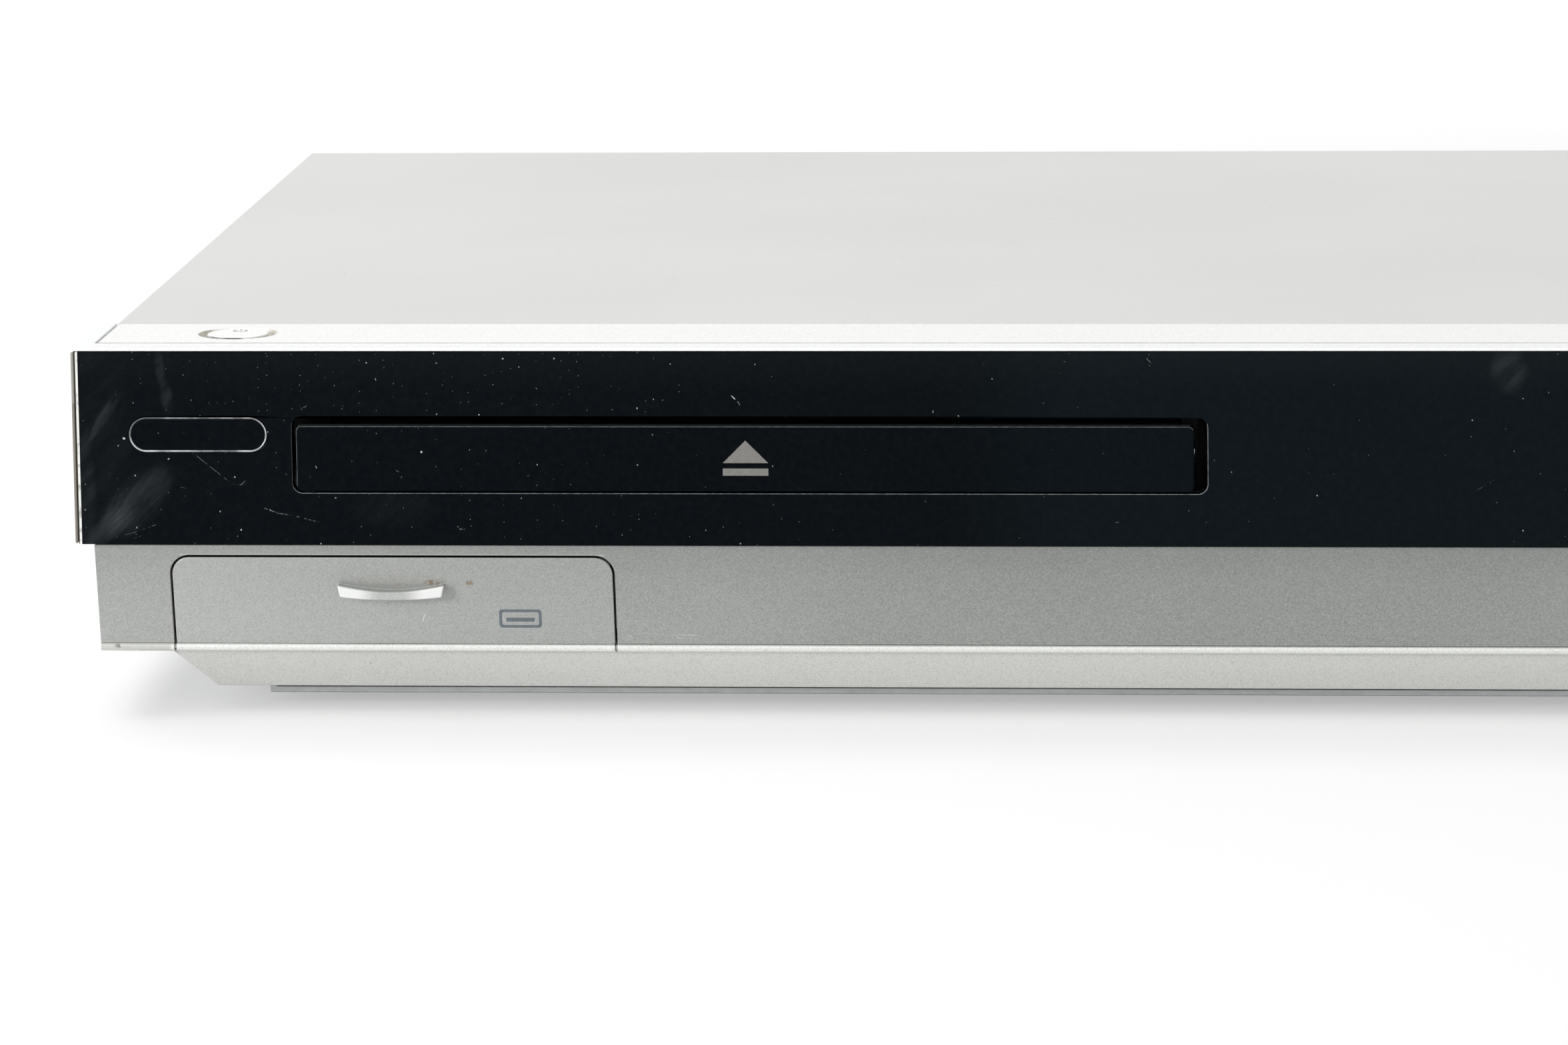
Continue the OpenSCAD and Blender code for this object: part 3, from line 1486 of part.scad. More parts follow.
module feed_gear() {
    color(natural)
        lowered()
            translate([feed_x, yf + feed_y, 0])
                difference() {
                    union() {
                        translate([0, 0, feed_z])
                            linear_extrude(feed_h)
                                gear_outline(feed_teeth, feed_m);
                        bar_z(0, 0, [deck_z + deck_t / 2 + 0.1, feed_z + 0.1], 3);
                    }
                    bar_z(0, 0, [deck_z, feed_z + feed_h + 1], 1 + running_fit);
                }
}

module pickup_sled() {
    y0 = yf + disc_cy + lens_in - sled_front;
    y = [y0, y0 + sled_l];
    lens_y = y0 + sled_front;
    color("dimgray")
        lowered()
            translate([door_x, 0, 0])
                difference() {
                    union() {
                        block([-20, 20], y, [sled_z0, sled_z1 - 4]);
                        block([-12, 12], [y[0], y[0] + 18], [sled_z0, sled_z1]);
                        both_sides()
                            block([19, rod_x_off + 4], [y[0] + 2, y[1] - 1.5], [rod_z - 2.5, feed_z + feed_h]);
                        translate([feed_x + feed_r - door_x, 0, feed_z])
                            linear_extrude(feed_h)
                                rack_outline(feed_m, yf + disc_cy + feed_rack_y0 + 2,
                                    yf + disc_cy + feed_rack_y0 + 40, yf + feed_y, 2.2);
                    }
                    both_sides()
                        bar_y(rod_x_off, [y[0] - 1, y[1] + 1], rod_z, rod_r + running_fit);
                    block([-lens_pocket[0], lens_pocket[0]],
                        [lens_y - lens_pocket[1], lens_y + lens_pocket[1]], [sled_z1 - 4, sled_z1 + 1]);
                    bar_z(0, lens_y, [sled_z1 - 8, sled_z1], 2.5);
                }
}

module lens_holder() {
    play = 0.6;
    y = yf + disc_cy + lens_in;
    color("steelblue")
        lowered()
            translate([door_x, y, 0]) {
                block([-lens_pocket[0] + play, lens_pocket[0] - play],
                    [-lens_pocket[1] + play, lens_pocket[1] - play], [sled_z1 - 4 + play, sled_z1 + 1]);
                bar_z(0, 0, [sled_z1, lens_z - 0.8], 3.4);
                translate([0, 0, lens_z - 0.8])
                    cylinder(h = 0.8, r1 = 2.8, r2 = 1.6);
            }
}

bottom_chassis();
rear_panel();
top_cover();
fascia();
front_window();
badge_plate();
top_deck();
feet();
cover_screws();
front_board();
display_module();
ir_receiver();
switch_boards();
tact_switches();
usb_board();
usb_socket();
main_board();
decoder_chip();
decoder_heatsink();
power_board();
transformer();
capacitors();
power_heatsink();
mains_inlet();
audio_jacks();
video_jacks();
hdmi_socket();
optical_socket();
ribbon_cables();
power_harness();
standoffs();
board_screws();
loader_frame();
loader_screws();
loading_motor();
drive_belt();
clamp_bridge();
tray();
tray_door();
drive_gear();
pulley_gear();
motor_pulley();
deck_plate();
spindle_motor();
guide_rods();
feed_motor();
turntable();
clamper();
pickup_sled();
lens_holder();
feed_gear();
feed_pinion();
cam_slider();
power_button();
open_button();
play_button();
stop_button();
usb_door();
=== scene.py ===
import math

import bpy
from mathutils import Matrix, Vector


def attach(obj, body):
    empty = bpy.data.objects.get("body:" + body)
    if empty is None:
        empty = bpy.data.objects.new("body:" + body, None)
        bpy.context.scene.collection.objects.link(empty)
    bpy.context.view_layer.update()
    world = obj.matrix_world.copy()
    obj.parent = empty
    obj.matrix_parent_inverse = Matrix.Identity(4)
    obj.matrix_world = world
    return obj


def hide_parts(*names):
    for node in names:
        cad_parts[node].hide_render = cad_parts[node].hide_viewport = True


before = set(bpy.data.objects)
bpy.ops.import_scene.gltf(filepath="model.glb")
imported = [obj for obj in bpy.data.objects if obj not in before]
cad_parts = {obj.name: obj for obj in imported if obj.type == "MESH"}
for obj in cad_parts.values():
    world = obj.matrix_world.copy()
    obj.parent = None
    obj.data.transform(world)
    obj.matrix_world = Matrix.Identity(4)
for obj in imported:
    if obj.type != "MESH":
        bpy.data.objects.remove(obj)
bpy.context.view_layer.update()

# ---- Studio ----
# A pale sweep of table under soft, even light, with the camera in front of the
# player's centre line, a little above it and turned towards its left half.

scene = bpy.context.scene
scene.view_settings.view_transform = "Standard"


def linear(tone):
    """A screen colour from 0 to 255 as the renderer's own numbers."""
    return tuple(
        v / 255 / 12.92 if v <= 10 else ((v / 255 + 0.055) / 1.055) ** 2.4 for v in tone
    )


class Wire:
    """The output of a node, with arithmetic that adds its Math nodes."""

    def __init__(self, finish, socket):
        self.finish = finish
        self.socket = socket

    def math(self, operation, *others):
        return self.finish.math(operation, self, *others)

    def __add__(self, other):
        return self.math("ADD", other)

    __radd__ = __add__

    def __sub__(self, other):
        return self.math("SUBTRACT", other)

    def __rsub__(self, other):
        return self.finish.math("SUBTRACT", other, self)

    def __mul__(self, other):
        return self.math("MULTIPLY", other)

    __rmul__ = __mul__

    def __truediv__(self, other):
        return self.math("DIVIDE", other)

    def __gt__(self, other):
        return self.math("GREATER_THAN", other)

    def __lt__(self, other):
        return self.math("LESS_THAN", other)

    def __abs__(self):
        return self.math("ABSOLUTE")

    def clamped(self):
        return self.finish.node("Clamp", {}, {0: self})

    def between(self, low, high, to_low=0.0, to_high=1.0):
        """Runs smoothly from to_low, below low, to to_high, above high."""
        return self.finish.node(
            "MapRange",
            {"interpolation_type": "SMOOTHSTEP"},
            {0: self, 1: low, 2: high, 3: to_low, 4: to_high},
        )

    def until(self, low, high):
        """Runs smoothly from 1, below low, to 0, above high."""
        return self.between(low, high, 1.0, 0.0)

    def parts(self):
        """The three numbers of a place or a colour."""
        split = self.finish.node("SeparateXYZ", {}, {0: self}).socket.node
        return [Wire(self.finish, socket) for socket in split.outputs]


class Finish:
    """A material or the world, built node by node."""

    def __init__(self, name, owner=None):
        self.data = owner or bpy.data.materials.new(name)
        self.data.use_nodes = True
        self.tree = self.data.node_tree
        self.tree.nodes.clear()
        self.object_place = None

    def node(self, kind, settings=None, values=None, out=0):
        """Adds a node: first its settings, then the values or links of its sockets."""
        made = self.tree.nodes.new("ShaderNode" + kind)
        for name, value in (settings or {}).items():
            setattr(made, name, value)
        for key, value in (values or {}).items():
            if isinstance(value, Wire):
                self.tree.links.new(value.socket, made.inputs[key])
            elif isinstance(value, tuple) and made.inputs[key].type == "RGBA":
                made.inputs[key].default_value = (*value, 1)
            else:
                made.inputs[key].default_value = value
        return Wire(self, made.outputs[out]) if len(made.outputs) else made

    def math(self, operation, *terms):
        return self.node("Math", {"operation": operation}, dict(enumerate(terms)))

    def place(self, turn=(0, 0, 0), scale=(1, 1, 1)):
        """The point's place on the object, in metres, turned and stretched."""
        if self.object_place is None:
            self.object_place = self.node("TexCoord", out=3)
        if turn == (0, 0, 0) and scale == (1, 1, 1):
            return self.object_place
        return self.node(
            "Mapping", {}, {"Vector": self.object_place, "Rotation": turn, "Scale": scale}
        )

    def millimetres(self):
        """The point's place in mm: across from the centre line, deep and up."""
        return [part * 1000.0 for part in self.place().parts()]

    def noise(self, scale, detail=2.0, rough=0.5, at=None, warp=0.0):
        return self.node(
            "TexNoise",
            {},
            {
                "Vector": at or self.place(),
                "Scale": scale,
                "Detail": detail,
                "Roughness": rough,
                "Distortion": warp,
            },
        )

    def cells(self, scale, at=None, out=0, flat=False):
        return self.node(
            "TexVoronoi",
            {"voronoi_dimensions": "2D" if flat else "3D"},
            {"Vector": at or self.place(), "Scale": scale},
            out=out,
        )

    def mix(self, share, under, over):
        """One colour over another. A plain tone is a screen colour from 0 to 255."""
        under, over = (linear(c) if isinstance(c, tuple) else c for c in (under, over))
        return self.node("Mix", {"data_type": "RGBA"}, {0: share, 6: under, 7: over}, out=2)

    def wash(self, colour, *coats):
        """Lays coats over a colour, each (how much of it shows, its tone)."""
        for share, tone in coats:
            colour = self.mix(share, colour, tone)
        return colour

    def rough(self, scale, spread, least):
        """A roughness that varies a little from place to place."""
        return (self.noise(scale, 2) * spread + least).clamped()

    def bump(self, height, strength, distance):
        values = {"Height": height, "Strength": strength, "Distance": distance}
        return self.node("Bump", {}, values)

    def surface(self, **values):
        """The shader, with its sockets' names spelt with underscores."""
        shader = self.node(
            "BsdfPrincipled",
            {},
            {name.replace("_", " "): value for name, value in values.items()},
        )
        self.node("OutputMaterial", {}, {"Surface": shader})
        return self.data


def select_none():
    if bpy.context.object and bpy.context.object.mode != "OBJECT":
        bpy.ops.object.mode_set(mode="OBJECT")
    bpy.ops.object.select_all(action="DESELECT")


def only(obj):
    """Makes obj the one selected and active object."""
    select_none()
    obj.select_set(True)
    bpy.context.view_layer.objects.active = obj


# To the camera the table glows, less within the shadow's reach and to white beyond
# it. To the player it is a plain white table that gives no light of its own.
BLACK, WHITE = (0, 0, 0), (255, 255, 255)
TABLE_SIZE = 9
SHADOW_REACH = (0.45, 1.3)
NEAR_GLOW = 0.42
table = Finish("table_sweep")
seen = table.node("LightPath", out=0)
from_player = table.node("VectorMath", {"operation": "LENGTH"}, {0: table.place()}, out=1)
glow = from_player.between(*SHADOW_REACH, NEAR_GLOW, 1.0)
table_white = table.mix(table.noise(3, 3), (247, 247, 247), (250, 250, 250))
table.surface(
    Base_Color=table.mix(seen, table_white, (203, 203, 203)),
    Roughness=0.9,
    Specular_IOR_Level=0.1,
    Emission_Color=table.mix(seen * glow, BLACK, WHITE),
    Emission_Strength=1.0,
)
select_none()
bpy.ops.mesh.primitive_plane_add(size=TABLE_SIZE)
floor = bpy.context.object
floor.name = "studio_floor"
floor.data.materials.append(table.data)

# The air is white where it's seen or mirrored, and lights the player more softly.
AIR_LIGHT = 0.40
if scene.world is None:
    scene.world = bpy.data.worlds.new("studio_world")
air = Finish("studio_air", scene.world)
direct = air.node("LightPath", out=0)
mirrored = air.node("LightPath", out=3)
strength = direct.math("MAXIMUM", mirrored).between(0, 1, AIR_LIGHT, 1.0)
background = air.node("Background", {}, {"Color": linear(WHITE), "Strength": strength})
air.node("OutputWorld", {}, {"Surface": background})


def soft_lamp(name, place, aim, size, watts):
    """A large rectangular lamp that faces a point. Lengths are in metres."""
    data = bpy.data.lights.new(name, "AREA")
    data.shape = "RECTANGLE"
    data.size, data.size_y = size
    data.energy = watts
    lamp = bpy.data.objects.new(name, data)
    scene.collection.objects.link(lamp)
    lamp.location = place
    lamp.rotation_euler = (Vector(aim) - Vector(place)).to_track_quat("-Z", "Y").to_euler()


soft_lamp("key_lamp", (-1.2, -1.2, 0.4), (-0.2, -0.1, 0.0), (0.5, 0.4), 12.5)
soft_lamp("top_lamp", (-0.65, 0.12, 1.5), (-0.1, 0, 0), (1.3, 1.1), 14.5)
soft_lamp("fill_lamp", (0.5, -1.7, 0.9), (0, 0, 0.03), (1.2, 1.0), 2.5)

CAMERA_PLACE = (0, -1.339, 0.2405)
YAW, DIP, ROLL = (math.radians(v) for v in (-4.947, 9.730, -0.739))
SENSOR_WIDTH, LENS_LENGTH = 36, 185.19
camera = bpy.data.objects.new("camera", bpy.data.cameras.new("camera"))
scene.collection.objects.link(camera)
scene.camera = camera
forward = Vector(
    (math.sin(YAW) * math.cos(DIP), math.cos(YAW) * math.cos(DIP), -math.sin(DIP))
)
level = Vector((math.cos(YAW), -math.sin(YAW), 0))
upright = level.cross(forward)
right = level * math.cos(ROLL) + upright * math.sin(ROLL)
up = upright * math.cos(ROLL) - level * math.sin(ROLL)
facing_player = Matrix((right, up, -forward)).transposed().to_4x4()
camera.matrix_world = Matrix.Translation(CAMERA_PLACE) @ facing_player
camera.data.sensor_width = SENSOR_WIDTH
camera.data.lens = LENS_LENGTH
camera.data.clip_start = 0.01

# ---- Moulded front ----
# One injection-moulded shell carries the whole front: the strip over the window,
# the short cheeks along the sides, the skirt that leans back, its rounded lip and
# the chamfered plinth. It is sprayed with a silver lacquer full of fine flake.

# Places are in mm: across from the centre line, deep from the player's middle
# towards its rear, and up from the table. A tone is a screen colour.
# Band tones of one lacquer paint light and shade: the plinth is painted paler with table bounce.
PLINTH_LIT_LEFT, PLINTH_LIT_MIDDLE = (214, 215, 211), (222, 223, 219)
# The lip's band is a painted highlight.
LIP_HIGHLIGHT_TONE = (238, 239, 235)
# The skirt is painted darker from its left end to the middle, as the key lamp's light falls off.
SKIRT_LIT_LEFT, SKIRT_SHADED_MIDDLE = (161, 163, 160), (141, 144, 140)
# The strip is painted paler with the strong light from above.
STRIP_TOP_LIT_TONE = (244, 245, 245)
LIP_FOOT, SKIRT_FOOT, STRIP_FOOT = 10.62, 11.55, 50.0
WINDOW_FOOT = 28.2
TONE_EDGE = 0.15
# Where the painted falloff of light runs from the left tones into the middle ones.
LIGHT_FALLOFF_RUN = (-205, -60)
STRIP_SHINE = 0.05
CHEEK_INSIDE, CHEEK_CORNER = 212.2, 214.42
CHEEK_HEIGHTS = (27.5, 57.95)
RIDGE_HIGHLIGHT_ENDS = (-199.0, -133.0)


def specks(finish, spacing, radius, share, at=None, flat=False):
    """Scattered grains: 1 on them and 0 elsewhere. Share is how many cells hold one."""
    at = at or finish.place()
    away = finish.cells(1 / spacing, at=at, flat=flat)
    draw = finish.cells(1 / spacing, at=at, out=1, flat=flat).parts()
    reach = (draw[1] * 0.7 + 0.3) * (radius / spacing)
    return (away < reach) * (draw[0] < share)


def hairlines(finish, turn, scale, width, share):
    """Fine, long scratches that lie roughly along one direction."""
    along = finish.place(turn=turn, scale=(1.0, 14.0, 14.0))
    line = abs(finish.noise(scale, 1, 0.4, at=along, warp=0.4) - 0.5)
    worn = finish.noise(scale * 0.35, 2) > (1 - share)
    return line.until(0.0, width) * worn


def smear(across, up, x, z, wide, tall, lean):
    """A soft patch, in mm, that leans by an angle in degrees."""
    c, s = math.cos(math.radians(lean)), math.sin(math.radians(lean))
    u = ((across - x) * c + (up - z) * s) / wide
    v = ((up - z) * c - (across - x) * s) / tall
    return (u * u + v * v).until(0.1, 1.0)


def silver_lacquer(name, tone, scuffs, bands=(), marks=None, far=None, shine=0.25):
    """Silver lacquer: pale binder, fine metal flake, a little dust and rubbing.

    Bands are (height in mm, tone, far tone): the tone changes there, going up, and the
    band tones paint how light falls on each part. The far tone is what it runs into
    towards the middle of the player, a painted falloff of light, or None. Marks paints
    stains, scratches and painted light and shade over the colour. Shine is how
    metallic the coat is, up to the strip over the window, where it's duller and
    painted paler."""
    coat = Finish(name)
    flake = coat.cells(6200, out=1).parts()
    cloud = coat.noise(22, 3).between(0.3, 0.7)
    across, deep, up = coat.millimetres()

    def painted_falloff(near, distant):
        return near if distant is None else coat.mix(across.between(*LIGHT_FALLOFF_RUN), near, distant)

    base = painted_falloff(tone, far)
    for height, near, distant in bands:
        step = up.between(height - TONE_EDGE, height + TONE_EDGE)
        base = coat.mix(step, base, painted_falloff(near, distant))
    rubbed = hairlines(coat, (0.1, 0.2, 0.5), 60, 0.006, 0.35) * scuffs
    dust = specks(coat, 0.0031, 0.0002, 0.3 * scuffs)
    colour = coat.wash(
        base,
        (cloud * 0.04, WHITE),
        (flake[0] * 0.16, (255, 255, 252)),
        (flake[1].between(0.55, 1.0, 0.0, 0.2), (92, 93, 92)),
        (rubbed * 0.3, (236, 235, 230)),
        (dust * 0.5, (150, 138, 118)),
    )
    if marks:
        colour = marks(coat, colour, across, deep, up)
    lustre = up.between(STRIP_FOOT - TONE_EDGE, STRIP_FOOT + TONE_EDGE, shine, STRIP_SHINE)
    return coat.surface(
        Base_Color=colour,
        Metallic=lustre,
        Roughness=(coat.noise(900, 2) * 0.16 + flake[2] * 0.1 + 0.52 - lustre).clamped(),
        Specular_IOR_Level=0.5,
        Coat_Weight=lustre * 0.6,
        Coat_Roughness=0.25,
        Normal=coat.bump(flake[0], 0.06, 0.0001),
    )


def crisp(node, name, body, finish, width, steps=2, cuts=(), carve=None):
    """A copy of a solid with its edges rounded, which then stands for it.

    Width is the rounding's, in metres, made in that many steps. Cuts are the places
    in mm of cross cuts that keep long faces short, and carve shapes the copy further
    before its edges are rounded."""
    same_point, flat_angle, crease = 2e-6, math.radians(0.3), math.radians(30)
    piece = bpy.data.objects.new(name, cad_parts[node].data.copy())
    scene.collection.objects.link(piece)
    only(piece)
    bpy.ops.mesh.customdata_custom_splitnormals_clear()
    bpy.ops.object.mode_set(mode="EDIT")
    bpy.ops.mesh.select_all(action="SELECT")
    bpy.ops.mesh.remove_doubles(threshold=same_point)
    bpy.ops.mesh.dissolve_limited(angle_limit=flat_angle)
    for x in cuts:
        bpy.ops.mesh.select_all(action="SELECT")
        bpy.ops.mesh.bisect(plane_co=(x / 1000, 0, 0), plane_no=(1, 0, 0))
    bpy.ops.object.mode_set(mode="OBJECT")
    piece.data.materials.clear()
    piece.data.materials.append(finish)
    if carve:
        carve(piece)
    bpy.ops.object.shade_smooth_by_angle(angle=crease)
    edges = piece.modifiers.new("edges", "BEVEL")
    edges.width = width
    edges.segments = steps
    edges.limit_method = "ANGLE"
    edges.angle_limit = crease
    edges.use_clamp_overlap = False
    edges.harden_normals = True
    bpy.ops.object.modifier_apply(modifier="edges")
    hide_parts(node)
    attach(piece, body)
    return piece


def front_marks(coat, colour, across, deep, up):
    """Dust in the seam, painted shade on the skirt and the cheeks' rim, painted
    highlights on the strip's nose, the cheeks' tops and the edge over the socket door,
    a weaker painted highlight at the lip's left end, and a scuffed corner.
    """
    out = abs(across)
    on_top = up > 57.0
    seam = deep.between(-119.7, -119.0) * on_top * (out < CHEEK_INSIDE)
    lint = coat.noise(160, 3, 0.6).between(0.35, 0.7)
    # A painted highlight along the strip's front edge.
    strip_nose_highlight = deep.until(-124.6, -124.1) * on_top
    # The cheeks' tops are painted paler with the light from above.
    cheek_top_light = (out > CHEEK_INSIDE) * (up > 57.2) * (deep > -124.0)
    # A painted highlight along the edge over the socket door's opening.
    left, right = RIDGE_HIGHLIGHT_ENDS
    ridge_highlight = up.between(26.02, 26.12) * up.until(26.26, 26.36)
    ridge_highlight = ridge_highlight * (across > left) * (across < right)
    # Painted shade on the cheeks' narrow front rim.
    low, high = CHEEK_HEIGHTS
    cheek_rim_shade = (out > CHEEK_CORNER) * (deep < -124.3) * (up > low) * (up < high)
    # Painted shade on the skirt under the window's overhang, darkest just under the window.
    skirt = (up < WINDOW_FOOT) * (deep < -118)
    shade = up.between(11.5, 27.0) * skirt
    brow_shade = up.between(21.5, 27.6) * skirt
    window_shadow = up.between(26.9, 27.9) * (up < WINDOW_FOOT) * (deep < -123.0)
    # The lip's painted highlight is made weaker at its left end.
    lip_end_dimmed_highlight = across.until(-201.6, -200.6) * up.between(10.4, 10.7) * (up < 11.9)
    scuff = smear(across, up, -208.8, 11.3, 1.6, 0.5, 0) * coat.noise(900, 2).between(0.45, 0.6)
    return coat.wash(
        colour,
        (seam * (lint * 0.3 + 0.7), (104, 107, 108)),
        (strip_nose_highlight * 0.8, (250, 250, 250)),
        (cheek_top_light * 0.45, (246, 249, 249)),
        (ridge_highlight * 0.6, (214, 217, 219)),
        (cheek_rim_shade * 0.8, (112, 104, 92)),
        (shade * 0.16, (64, 68, 70)),
        (brow_shade * 0.1, (60, 63, 64)),
        (window_shadow * 0.12, (70, 70, 66)),
        (lip_end_dimmed_highlight * 0.6, (176, 177, 173)),
        (scuff * 0.7, (96, 96, 94)),
    )


front_bands = (
    (LIP_FOOT, LIP_HIGHLIGHT_TONE, None),
    (SKIRT_FOOT, SKIRT_LIT_LEFT, SKIRT_SHADED_MIDDLE),
    (STRIP_FOOT, STRIP_TOP_LIT_TONE, None),
)
front_silver = silver_lacquer(
    "front_silver", PLINTH_LIT_LEFT, 1.0, front_bands, front_marks, PLINTH_LIT_MIDDLE
)
crisp(
    "fascia", "moulded_front", "root", front_silver, 0.00018,
    cuts=range(-200, 201, 50),
)

# ---- Dark window ----
# A strip of smoked acrylic, polished on its face and edges and cut out for the
# tray. It is glued into the front, gathers dust and shows every wipe of a cloth.

ON_FRONT = (-math.pi / 2, 0, 0)
WIPE_TURN, WIPE_STRETCH = (0, -0.75, 0), (6, 1, 1)
SPECK_SHAKE = (0.0003, 0.0003, 0.0003)
DUST_LEFT, DUST_RIGHT = (-212, -192), (-150, -90)
SMOKE_RUN = (-84, -58)
TOP_SHEEN = (51.0, 58.5)
POLISHED_GLOSS, ACRYLIC_IOR = 0.045, 1.49
WINDOW_RIM = 214.02


def stroke(across, up, points, width):
    """A fine mark along a line of points, in mm, on one face of the player."""
    mark = None
    for (x0, z0), (x1, z1) in zip(points, points[1:]):
        dx, dz = x1 - x0, z1 - z0
        along = (((across - x0) * dx + (up - z0) * dz) / (dx * dx + dz * dz)).clamped()
        off_x = across - x0 - along * dx
        off_z = up - z0 - along * dz
        piece = (off_x * off_x + off_z * off_z).until(0.0, width * width)
        mark = piece if mark is None else mark.math("MAXIMUM", piece)
    return mark


def dark_gloss(name, tone, far, dust_share, lint, smears, rim=None):
    """Gloss black plastic with dust, wiping marks, lint and fine scratches.

    The tone runs into the far one towards the player's middle. Lint is (width,
    strength, points) and smears are (x, z, wide, tall, lean, strength), all in mm on
    the player's face. Rim is how far out from the centre line the end lies that gets
    a painted highlight along its polished edge and painted shade beyond it; a rim also
    brings a painted sheen along the top."""
    gloss = Finish(name)
    across, _, up = gloss.millimetres()
    wiped = gloss.node(
        "VectorMath", {"operation": "MULTIPLY"}, {0: gloss.place(turn=WIPE_TURN), 1: WIPE_STRETCH}
    )
    streak = gloss.noise(60, 5, 0.7, at=wiped, warp=0.3).between(0.35, 0.72, 0.15, 1.0)
    broken = gloss.noise(1300, 2, 0.6).between(0.44, 0.6)
    on_face = gloss.place(turn=ON_FRONT)
    shake = gloss.node("TexNoise", {}, {"Vector": on_face, "Scale": 2500.0}, out=1)
    ragged = gloss.node(
        "VectorMath", {"operation": "MULTIPLY_ADD"}, {0: shake, 1: SPECK_SHAKE, 2: on_face}
    )
    few_right = across.between(*DUST_RIGHT, 1.0, 0.13)
    few_left = across.between(*DUST_LEFT, 0.4, 1.0)
    crowd = gloss.noise(22, 2, 0.5).between(0.35, 0.65, 0.4, 1.3) * few_right * few_left

    def grains(spacing, radius, share):
        return specks(gloss, spacing, radius, crowd * dust_share * share, ragged, True)

    dust = grains(0.0026, 0.00013, 1.2) * 0.4 + grains(0.0013, 0.00009, 1.3) * 0.16
    marks = dust + grains(0.0090, 0.00019, 2.0) * 0.7
    for width, strength, points in lint:
        marks = marks.math("MAXIMUM", stroke(across, up, points, width) * broken * strength)
    haze = gloss.noise(1100, 2, 0.7).between(0.35, 0.75)
    veil = haze * 0.005 + gloss.noise(9, 3).between(0.4, 0.8) * 0.004
    for x, z, wide, tall, lean, strength in smears:
        veil = veil + smear(across, up, x, z, wide, tall, lean) * streak * strength
    # A faint pale band along the window's top is a painted sheen.
    if rim:
        veil = veil + up.between(*TOP_SHEEN) * 0.008
    smoke = gloss.mix(across.between(*SMOKE_RUN), tone, far)
    colour = gloss.wash(
        smoke, (veil.clamped(), (150, 158, 160)), (marks.clamped(), (222, 222, 216))
    )
    # At each end, a painted highlight on the polished edge and painted shade beyond it.
    if rim:
        out = abs(across)
        nicks = gloss.noise(700, 2).between(0.3, 0.5, 0.55, 1.0)
        corner = (rim + 0.25, rim + 0.35)
        end_highlight = out.between(rim - 0.1, rim) * out.until(*corner)
        colour = gloss.wash(
            colour,
            (out.between(*corner) * 0.8, (112, 108, 98)),
            (end_highlight * nicks, (236, 236, 232)),
        )
    return gloss.surface(
        Base_Color=colour,
        Roughness=(veil * 2.0 + marks * 0.3 + 0.07).clamped(),
        Specular_IOR_Level=POLISHED_GLOSS,
        IOR=ACRYLIC_IOR,
    )


window_lint = (
    (0.09, 0.85, ((-112.9, 51.15), (-112.0, 50.3), (-111.6, 49.7))),
    (0.06, 0.25, ((-49.0, 57.6), (-49.4, 56.9), (-48.6, 56.2), (-49.0, 55.8))),
    (0.04, 0.20, ((0.5, 36.5), (4.1, 38.8))),
    (0.05, 0.15, ((-62.0, 56.5), (-61.2, 56.3))),
    (0.07, 0.14, ((-196.5, 42.4), (-194.7, 40.9), (-192.6, 39.2), (-191.0, 37.9))),
    (0.08, 0.18, ((-191.0, 37.9), (-189.9, 37.2), (-188.9, 37.3), (-188.3, 37.9))),
    (0.08, 0.20, ((-185.6, 33.7), (-183.2, 32.8), (-181.0, 32.5), (-178.4, 31.8), (-176.8, 31.4))),
    (0.07, 0.40, ((-155.5, 30.8), (-155.2, 30.4), (-154.4, 30.4))),
    (0.07, 0.60, ((-184.0, 52.9), (-183.7, 52.5), (-183.4, 52.4))),
    (0.05, 0.14, ((-208.6, 29.0), (-205.4, 29.9), (-202.4, 31.0))),
    (0.04, 0.10, ((-207.0, 28.5), (-204.6, 29.3))),
    (0.04, 0.10, ((-198.4, 36.9), (-196.6, 36.5))),
    (0.06, 0.30, ((-54.2, 31.6), (-53.4, 31.7), (-53.0, 30.9))),
    (0.06, 0.16, ((-179.6, 49.6), (-178.9, 49.3), (-178.4, 49.7))),
    (0.08, 0.60, ((-167.8, 53.9), (-167.7, 53.6))),
    (0.08, 0.45, ((-82.0, 48.9), (-82.1, 48.6))),
    (0.05, 0.22, ((-104.6, 48.0), (-104.7, 47.4))),
)
window_smears = (
    (-201.2, 55.5, 0.9, 3.8, 4.0, 0.05),
    (-200.2, 50.8, 1.2, 3.2, 6.0, 0.06),
    (-210.6, 47.4, 0.8, 4.4, -28.0, 0.055),
    (-209.0, 48.6, 0.5, 3.4, -30.0, 0.03),
    (-205.2, 34.6, 4.4, 8.4, -44.0, 0.07),
    (-209.6, 30.6, 2.2, 6.0, -50.0, 0.05),
    (-213.0, 36.0, 1.6, 12.0, 0.0, 0.03),
    (5.5, 55.0, 3.4, 4.2, 0.0, 0.06),
    (-166.0, 34.0, 9.0, 4.0, 0.0, 0.012),
    (-211.0, 44.0, 7.0, 20.0, 0.0, 0.014),
)
window_gloss = dark_gloss(
    "smoked_acrylic", (3, 8, 13), (8, 17, 21), 0.15, window_lint, window_smears, WINDOW_RIM
)
window = crisp(
    "front_window", "dark_window", "root", window_gloss, 0.00025, 3
)


def toned(tone, factor):
    """A tone made darker or paler, and never quite white."""
    return tuple(min(v * factor, 250) for v in tone)


